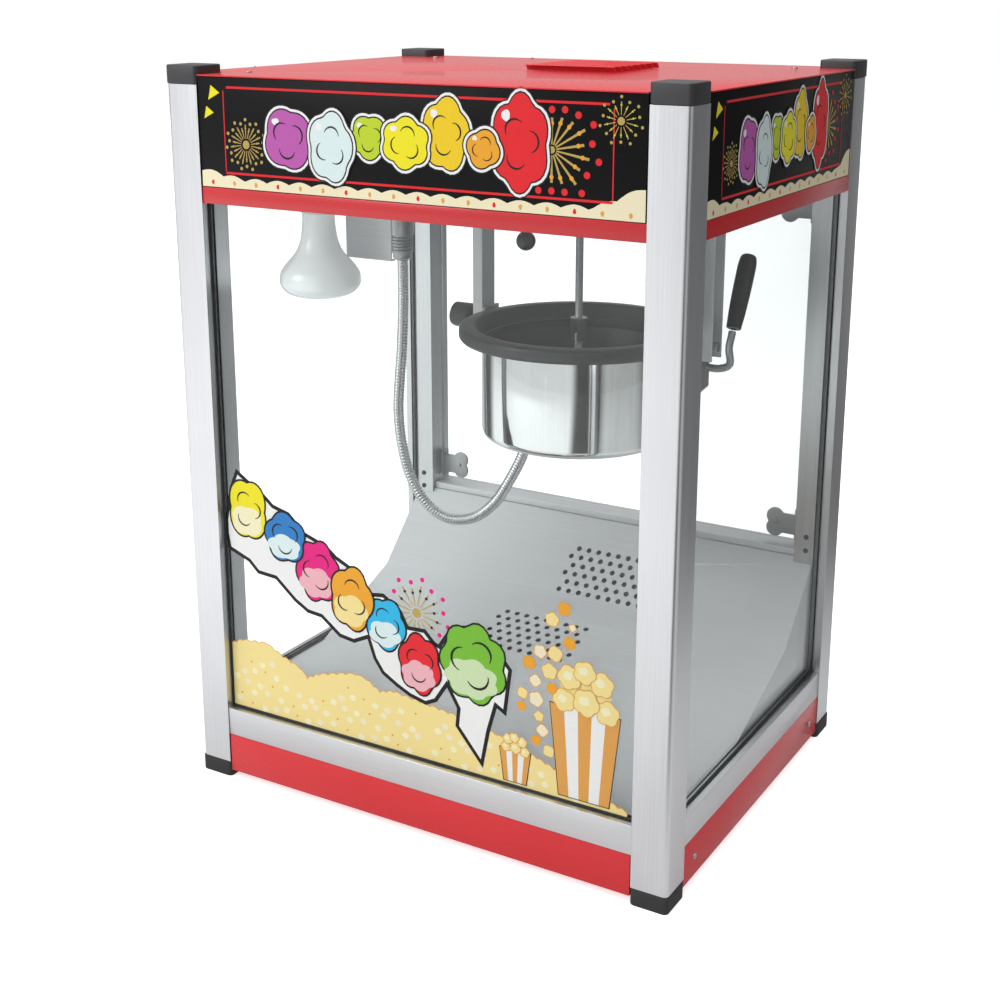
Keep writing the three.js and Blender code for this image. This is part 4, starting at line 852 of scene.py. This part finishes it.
def kernel(bm, centre, width, height, colour, place, level, lobes=5, turn=0.4):
    """One fat popped kernel: black edge, white outline, colour, a highlight and its folds."""
    for grow, ink_name, k in ((0.0052, "black", 0), (0.0038, "white", 1), (0.0014, "black", 2),
                              (0, colour, 3)):
        paint(bm, puff(centre, width, height, lobes, turn, grow), place, ink_name, level + k)
    shine = (centre[0] - 0.25 * width, centre[1] + 0.27 * height)
    paint(bm, puff(shine, 0.16 * width, 0.12 * height, 3, turn), place, "white", level + 4)
    creases(bm, centre, width, height, place, level + 4, turn)


# %% Panels that the print stands on
def front_board(u, v, depth):
    return Vector((u, -FACE_Y - depth, v))


def rear_board(u, v, depth):
    return Vector((-u, FACE_Y + depth, v))


def right_board(u, v, depth):
    return Vector((FACE_X + depth, u, v))


def left_board(u, v, depth):
    return Vector((-FACE_X - depth, -u, v))


SIGN_LOW, SIGN_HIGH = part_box("sign_panel_front")[0][2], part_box("sign_panel_front")[1][2]
SIGN_KERNELS = [
    (-133, 695, 56, 58, "purple", 4), (-83, 690, 50, 66, "ice", 5), (-39, 701, 42, 40, "lime", 5),
    (1, 698, 51, 47, "yellow", 6), (44, 708, 49, 66, "amber", 5), (83, 697, 34, 34, "orange", 4),
    (120, 704, 57, 86, "red", 6),
]


def line_box(u0, u1, v0, v1):
    return [(u0, v0), (u1, v0), (u1, v1), (u0, v1)]


def print_sign(name, place, half, board_half):
    """half is where the red frame ends, board_half where the board does; both from the board's middle."""
    bm = bmesh.new()
    squeeze = half / 0.21
    top, low = SIGN_HIGH - 0.0085, SIGN_LOW + 0.0145
    paint(bm, line_box(-half + 0.004, half - 0.004, top - 0.0022, top), place, "red", 0)
    paint(bm, line_box(-half, half, low - 0.0008, low + 0.0014), place, "red", 1)
    for side in (-1, 1):
        u = side * half
        paint(bm, line_box(u - 0.0006, u + 0.0006, low + 0.002, top - 0.004), place, "red", 0)
    for k, (u, v, wide, tall, colour, lobes) in enumerate(SIGN_KERNELS):
        kernel(bm, (u * MM * squeeze, v * MM), wide * MM * squeeze, tall * MM, colour, place,
               3 + 6 * (k % 2), lobes, 0.4 + k)
    burst(bm, (-0.184 * squeeze, 0.687), 0.024 * squeeze, 22, place, ("gold", "gold", "gold"), 0)
    burst(bm, (0.151 * squeeze, 0.7), 0.046 * squeeze, 18, place, ("gold", "orange", "red"), 0, 0.1,
          (low + 0.002, top - 0.003))
    corner_u = min(board_half - 0.024, half + 0.02)
    burst(bm, (corner_u, 0.727), 0.02, 14, place, ("gold", "lime", "gold"), 2, room=(0, SIGN_HIGH))
    for u, v, size in ((-board_half + 0.012, 0.716, 0.006), (-board_half + 0.019, 0.735, 0.007)):
        paint(bm, [(u - size, v - size), (u + size, v), (u - size * 0.5, v + size)], place, "yellow", 0)
    bumps = round(board_half * 2 / 0.026)
    edge = []
    for k in range(bumps * 6 + 1):
        t = k / (bumps * 6)
        rise = 0.0075 + 0.0035 * abs(math.sin(math.pi * t * bumps)) + 0.02 * max(0.0, t - 0.9) / 0.1
        rise += 0.008 * max(0.0, 0.1 - t) / 0.1
        edge.append((board_half * (2 * t - 1), SIGN_LOW + rise))
    paint(bm, edge + [(board_half, SIGN_LOW + 0.0004), (-board_half, SIGN_LOW + 0.0004)], place, "cream", 0)
    for k in range(bumps):
        u = board_half * (2 * (k + 0.5) / bumps - 1)
        shade = "toffee" if k % 3 else "red"
        paint(bm, puff((u, SIGN_LOW + 0.005), 0.0035, 0.005, 3, k), place, shade, 1)
    return keep_print(bm, name)


print_sign("sign_print_front", front_board, 0.209, 0.2395)
print_sign("sign_print_rear", rear_board, 0.209, 0.2395)
print_sign("sign_print_right", right_board, 0.154, 0.1845)
print_sign("sign_print_left", left_board, 0.154, 0.1845)
print("sign printed on four sides")

# %% [markdown]
# ## The print on the front glass
# The customer's pane has a big cheerful sticker: a white band that runs down across it with seven round
# popped kernels on it, a heap of popcorn along the bottom, a spray of toffee popcorn and a striped tub.
# The same thin layers of ink make it, on the outside of the glass.

# %% Sticker parts
glass_front_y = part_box("glass_front")[0][1]


def front_pane(u, v, depth):
    return Vector((u, glass_front_y - 0.00005 - depth, v))


BAND_UPPER = [(-240, 296), (-232, 331), (-222.5, 353), (-204, 341.5), (-193, 336.5), (-175, 322),
              (-155, 317), (-135, 299), (-109, 290.5), (-96.5, 281), (-72, 270), (-57, 250), (-40, 252.5),
              (-19, 239), (-11, 224), (8.5, 225), (20, 214), (24, 212.5), (36.5, 231.5), (53.5, 239),
              (76, 235), (92.5, 221.5), (107.5, 204.5), (101, 154.5)]
BAND_LOWER = [(90.5, 160.5), (82.5, 132.5), (74.5, 92), (43, 129.5), (45, 149), (33.5, 168.5), (21.5, 150),
              (8.5, 143.5), (-11, 148), (-26.5, 155), (-44, 165), (-54, 179), (-61, 199), (-77.5, 191),
              (-96, 193.5), (-118.5, 210), (-135.5, 211.5), (-152.5, 221), (-176, 240.5), (-199, 242),
              (-211, 253), (-237, 262.5), (-240, 280)]


def inset(outline, by):
    """The outline moved inward, each point along the mean of its two edges' normals."""
    moved = []
    area = sum(a[0] * b[1] - b[0] * a[1] for a, b in zip(outline, outline[1:] + outline[:1]))
    turn = 1 if area > 0 else -1
    for before, here, after in zip(outline[-1:] + outline[:-1], outline, outline[1:] + outline[:1]):
        a, b = (Vector(here) - Vector(before)).normalized(), (Vector(after) - Vector(here)).normalized()
        normal = Vector((-(a.y + b.y), a.x + b.x)) * turn
        normal = normal.normalized() * by / max(0.45, math.sqrt(max(0.0, (1 + a.dot(b)) / 2)))
        moved.append((here[0] + normal.x, here[1] + normal.y))
    return moved


def two_tone(bm, centre, width, height, colour, pale, lobes, turn, level):
    paint(bm, puff(centre, width, height, lobes, turn, 0.0016), front_pane, "black", level)
    paint(bm, puff(centre, width, height, lobes, turn, -0.0006), front_pane, colour, level + 1)
    below = (centre[0] - 0.03 * width, centre[1] - 0.19 * height)
    paint(bm, puff(below, width * 0.82, height * 0.5, lobes, turn), front_pane, pale, level + 2)
    creases(bm, centre, width, height, front_pane, level + 3, turn)


BAND_KERNELS = [
    (-209, 311, 47, 62, "yellow", "pale_yellow", 4), (-161, 289, 48, 50, "blue", "ice", 5),
    (-121, 260, 50, 62, "magenta", "pink", 6), (-79, 239, 49, 64, "orange", "corn", 5),
    (-38, 220, 44, 52, "cyan", "ice", 5), (2, 186, 46, 60, "red", "pink", 6),
    (64, 201, 70, 78, "green", "pale_green", 7),
]


BAND_SWELL = 1.1


def print_band():
    bm = bmesh.new()
    outline = [(u * MM, v * MM) for u, v in BAND_UPPER + BAND_LOWER]
    paint(bm, outline, front_pane, "black", 3)
    paint(bm, inset(outline, 0.0042), front_pane, "white", 4)
    for k, (u, v, wide, tall, colour, pale, lobes) in enumerate(BAND_KERNELS):
        two_tone(bm, (u * MM, v * MM), wide * BAND_SWELL * MM, tall * BAND_SWELL * MM, colour, pale,
                 lobes, 0.5 * k, 5 + 5 * (k % 2))
    keep_print(bm, "pane_print_band")


# %% Popcorn heap, spray and tub
HEAP_TOP = [(-240.5, 154), (-224.5, 161), (-191, 164), (-171, 154), (-150, 146.5), (-139, 137),
            (-124, 144.5), (-101, 151), (-78, 156), (-63.5, 153.5), (-47.5, 143.5), (-31, 148), (45, 140),
            (89, 132), (125, 122), (172, 106), (232, 88)]


def scalloped(points, bump=0.0022):
    """A line of points with a round bump between each pair, like the edge of a heap of popcorn."""
    edge = []
    for a, b in zip(points, points[1:]):
        a, b = Vector(a), Vector(b)
        steps = max(1, round((b - a).length / 0.011))
        for s in range(steps):
            for k in range(5):
                t = (s + k / 5) / steps
                edge.append(tuple(a.lerp(b, t) + Vector((0, bump * math.sin(math.pi * k / 5)))))
    return edge + [tuple(points[-1])]


def print_heap():
    bm = bmesh.new()
    low = RAIL_TOP + 0.0006
    top = scalloped([(u * MM, v * MM) for u, v in HEAP_TOP])
    paint(bm, top + [(0.232, low), (-0.2405, low)], front_pane, "toffee", 0)
    inner = [(u, max(low + 0.0006, v - 0.0011)) for u, v in top]
    paint(bm, inner + [(0.231, low + 0.0002), (-0.24, low + 0.0002)], front_pane, "corn", 1)
    flecks = 0
    for row in range(6):
        for column in range(30):
            u = -0.232 + column * 0.0158 + (row % 2) * 0.007 + 0.003 * math.sin(row * 5 + column * 7)
            v = low + 0.008 + row * 0.0125 + 0.003 * math.cos(row * 3 + column * 11)
            ceiling = min((b for a, b in HEAP_TOP if abs(a * MM - u) < 0.03), default=0) * MM
            if v > ceiling - 0.012:
                continue
            shade = ("pale_yellow", "toffee", "pale_yellow", "cream")[(row + column) % 4]
            wide = 0.0085 if shade != "toffee" else 0.0026
            paint(bm, puff((u, v), wide, wide * 0.85, 4, row + column, points=16), front_pane, shade, 2)
            flecks += 1
    keep_print(bm, "pane_print_heap")
    print("heap flecks", flecks)


SPRAY = [(163, 279, 15), (150.5, 266, 16), (172, 262, 9), (169, 246, 14), (154, 232, 17), (138, 231, 15),
         (126, 217, 15), (148, 213, 18), (133, 200, 14), (151, 196, 13), (119, 184, 13), (134, 181, 17),
         (118, 170, 11), (137, 164, 12), (141, 150, 14), (134, 138, 12), (148, 130, 14)]


def print_spray():
    bm = bmesh.new()
    for k, (u, v, size) in enumerate(SPRAY):
        centre, wide = (u * MM, v * MM), size * MM
        paint(bm, puff(centre, wide, wide, 4 + k % 2, k), front_pane, "toffee", 2 + 2 * (k % 3))
        shade = ("orange", "corn", "cream")[k % 3]
        paint(bm, puff(centre, wide, wide, 4 + k % 2, k, -0.0009), front_pane, shade, 3 + 2 * (k % 3))
    keep_print(bm, "pane_print_spray")


def print_tub(name, centre, width, height, level):
    """A striped paper tub, wider at the top, with popcorn heaped over its edge."""
    bm = bmesh.new()
    stripes = 5
    u0, v0 = centre
    low, rim = v0 - height / 2, v0 + height * 0.18

    def edge_at(t, v):
        spread = 0.36 + 0.14 * (v - low) / (rim - low)
        return u0 + (2 * t - 1) * width * spread

    def panel(t0, t1, grow):
        return [(edge_at(t0, low) - grow, low - grow), (edge_at(t1, low) + grow, low - grow),
                (edge_at(t1, rim) + grow, rim + grow), (edge_at(t0, rim) - grow, rim + grow)]

    paint(bm, panel(0, 1, 0.0009), front_pane, "black", level)
    for k in range(stripes):
        shade = "white" if k % 2 else "toffee"
        paint(bm, panel(k / stripes, (k + 1) / stripes, 0), front_pane, shade, level + 1)
    paint(bm, puff((u0, v0 + 0.3 * height), width * 0.8, height * 0.22, 6, 0.3), front_pane, "corn",
          level + 2)
    for k, (a, b, size) in enumerate(((-0.3, 0.22, 0.34), (0.32, 0.2, 0.36), (0.02, 0.24, 0.4),
                                      (-0.22, 0.4, 0.36), (0.24, 0.4, 0.36), (0.0, 0.46, 0.34))):
        spot = (u0 + a * width, v0 + b * height)
        over, wide = level + 3 + 3 * k, size * width
        paint(bm, puff(spot, wide, wide, 5, k), front_pane, "toffee", over)
        paint(bm, puff(spot, wide, wide, 5, k, -0.0009), front_pane, "corn", over + 1)
        shine = (spot[0] - 0.06 * wide, spot[1] + 0.06 * wide)
        paint(bm, puff(shine, wide * 0.4, wide * 0.35, 4, k + 1), front_pane, "pale_yellow", over + 2)
    keep_print(bm, name)


def print_dots():
    bm = bmesh.new()
    burst(bm, (-0.0012, 0.2398), 0.037, 16, front_pane, ("gold", "black", "magenta"), 0, 0.2)
    keep_print(bm, "pane_print_dots")


print_band()
print_heap()
print_spray()
print_tub("pane_print_tub", (0.186, 0.157), 0.074, 0.138, 4)
print_tub("pane_print_tub_small", (0.111, 0.112), 0.034, 0.05, 4)
print_dots()

# %% [markdown]
# ## Floor and light
# The machine stands on a plain pale floor under soft white light, as in a small product studio. A large
# lamp on the left gives the posts their bright side and another above lights the roof. Polished metal shows
# only what stands round it, so the walls and the floor have dark sectors between the white ones. They draw
# the dark bands on the kettle and the darker sides of the posts, while the eye sees plain white.

# %% Floor and lamps
# How bright the studio is at each compass angle, in degrees from the front.
AROUND = [(-180, 0.5), (-128, 0.5), (-116, 0.03), (-98, 0.03), (-86, 0.8), (20, 0.8), (27, 0.02), (51, 0.02),
          (60, 0.45), (98, 0.4), (110, 0.13), (162, 0.13), (179, 0.5)]
FLOOR_GLOW, FLOOR_WHITE = 0.28, 0.62


def join_math(tree, operation, first, second):
    node = tree.nodes.new("ShaderNodeMath")
    node.operation = operation
    for socket, value in zip(node.inputs, (first, second)):
        if isinstance(value, (int, float)):
            socket.default_value = value
        else:
            tree.links.new(value, socket)
    return node.outputs[0]


def choose(tree, factor, first, second):
    """A number that runs from first to second with the factor; either may come from another node."""
    return join_math(tree, "ADD", join_math(tree, "MULTIPLY", second, factor),
                     join_math(tree, "MULTIPLY", first, join_math(tree, "SUBTRACT", 1, factor)))


def studio_walls(tree, coordinate):
    """Brightness by compass angle, as in AROUND, then the height and the distance from the middle."""
    axes = tree.nodes.new("ShaderNodeSeparateXYZ")
    tree.links.new(tree.nodes.new("ShaderNodeTexCoord").outputs[coordinate], axes.inputs["Vector"])
    angle = join_math(tree, "ARCTAN2", axes.outputs["X"], join_math(tree, "MULTIPLY", axes.outputs["Y"], -1))
    ramp = tree.nodes.new("ShaderNodeValToRGB")
    tree.links.new(ranged(tree, angle, 0, 1, -math.pi, math.pi), ramp.inputs["Fac"])
    stops = ramp.color_ramp.elements
    for k, (degrees, _) in enumerate(AROUND):
        stop = stops[k] if k < 2 else stops.new(1)
        stop.position = degrees / 360 + 0.5
    for stop, (_, bright) in zip(stops, AROUND):
        stop.color = (bright, bright, bright, 1)
    squares = [join_math(tree, "MULTIPLY", axes.outputs[axis], axes.outputs[axis]) for axis in "XY"]
    far = join_math(tree, "SQRT", join_math(tree, "ADD", *squares), 0)
    return ramp.outputs["Color"], axes.outputs["Z"], far


def make_floor():
    """White to the eye; the machine sees the same bright and dark sectors in it as in the walls."""
    bm = bmesh.new()
    bmesh.ops.create_circle(bm, cap_ends=True, segments=64, radius=9)
    mesh = bpy.data.meshes.new("studio_floor")
    bm.to_mesh(mesh)
    bm.free()
    floor = bpy.data.objects.new("studio_floor", mesh)
    bpy.context.scene.collection.objects.link(floor)
    paper = finish("floor_paper", (0.88, 0.88, 0.88), (0.9, 0.9, 0.9), (0.7, 0.8), 0, 40, lift=0,
                   Specular_IOR_Level=0.1)
    tree = paper.node_tree
    shader = tree.nodes["Principled BSDF"]
    shader.inputs["Emission Color"].default_value = (1, 1, 1, 1)
    eye = tree.nodes.new("ShaderNodeLightPath").outputs["Is Camera Ray"]
    walls, _, far = studio_walls(tree, "Object")
    sectors = choose(tree, ranged(tree, far, 0, 1, 0.45, 0.95), 0.6, walls)
    tree.links.new(choose(tree, eye, sectors, 0.9), shader.inputs["Base Color"])
    glow = join_math(tree, "MULTIPLY", sectors, FLOOR_GLOW)
    tree.links.new(choose(tree, eye, glow, FLOOR_WHITE), shader.inputs["Emission Strength"])
    mesh.materials.append(paper)


def area_lamp(name, place, size, power, target=(0, 0, 0.4)):
    data = bpy.data.lights.new(name, "AREA")
    data.shape, data.size, data.energy = "SQUARE", size, power
    lamp = bpy.data.objects.new(name, data)
    lamp.location = place
    lamp.rotation_euler = (Vector(place) - Vector(target)).to_track_quat("Z", "Y").to_euler()
    bpy.context.scene.collection.objects.link(lamp)


def make_world(seen, overhead):
    """A studio as the machine sees it: white walls with dark gaps between them, and a brighter ceiling."""
    world = bpy.data.worlds.new("studio")
    bpy.context.scene.world = world
    world.use_nodes = True
    tree = world.node_tree
    walls, height, _ = studio_walls(tree, "Generated")
    given = choose(tree, ranged(tree, height, 0, 1, 0.45, 0.62), walls, overhead)
    eye = tree.nodes.new("ShaderNodeLightPath").outputs["Is Camera Ray"]
    background = tree.nodes["Background"]
    tree.links.new(choose(tree, eye, given, seen), background.inputs["Strength"])
    background.inputs["Color"].default_value = (1, 1, 1, 1)


make_floor()
make_world(1.0, 1.0)
area_lamp("key_lamp", (-1.9, -2.6, 1.9), 1.6, 34)
area_lamp("top_lamp", (-0.3, -0.2, 2.8), 1.4, 26)
bpy.context.scene.view_settings.view_transform = "Standard"
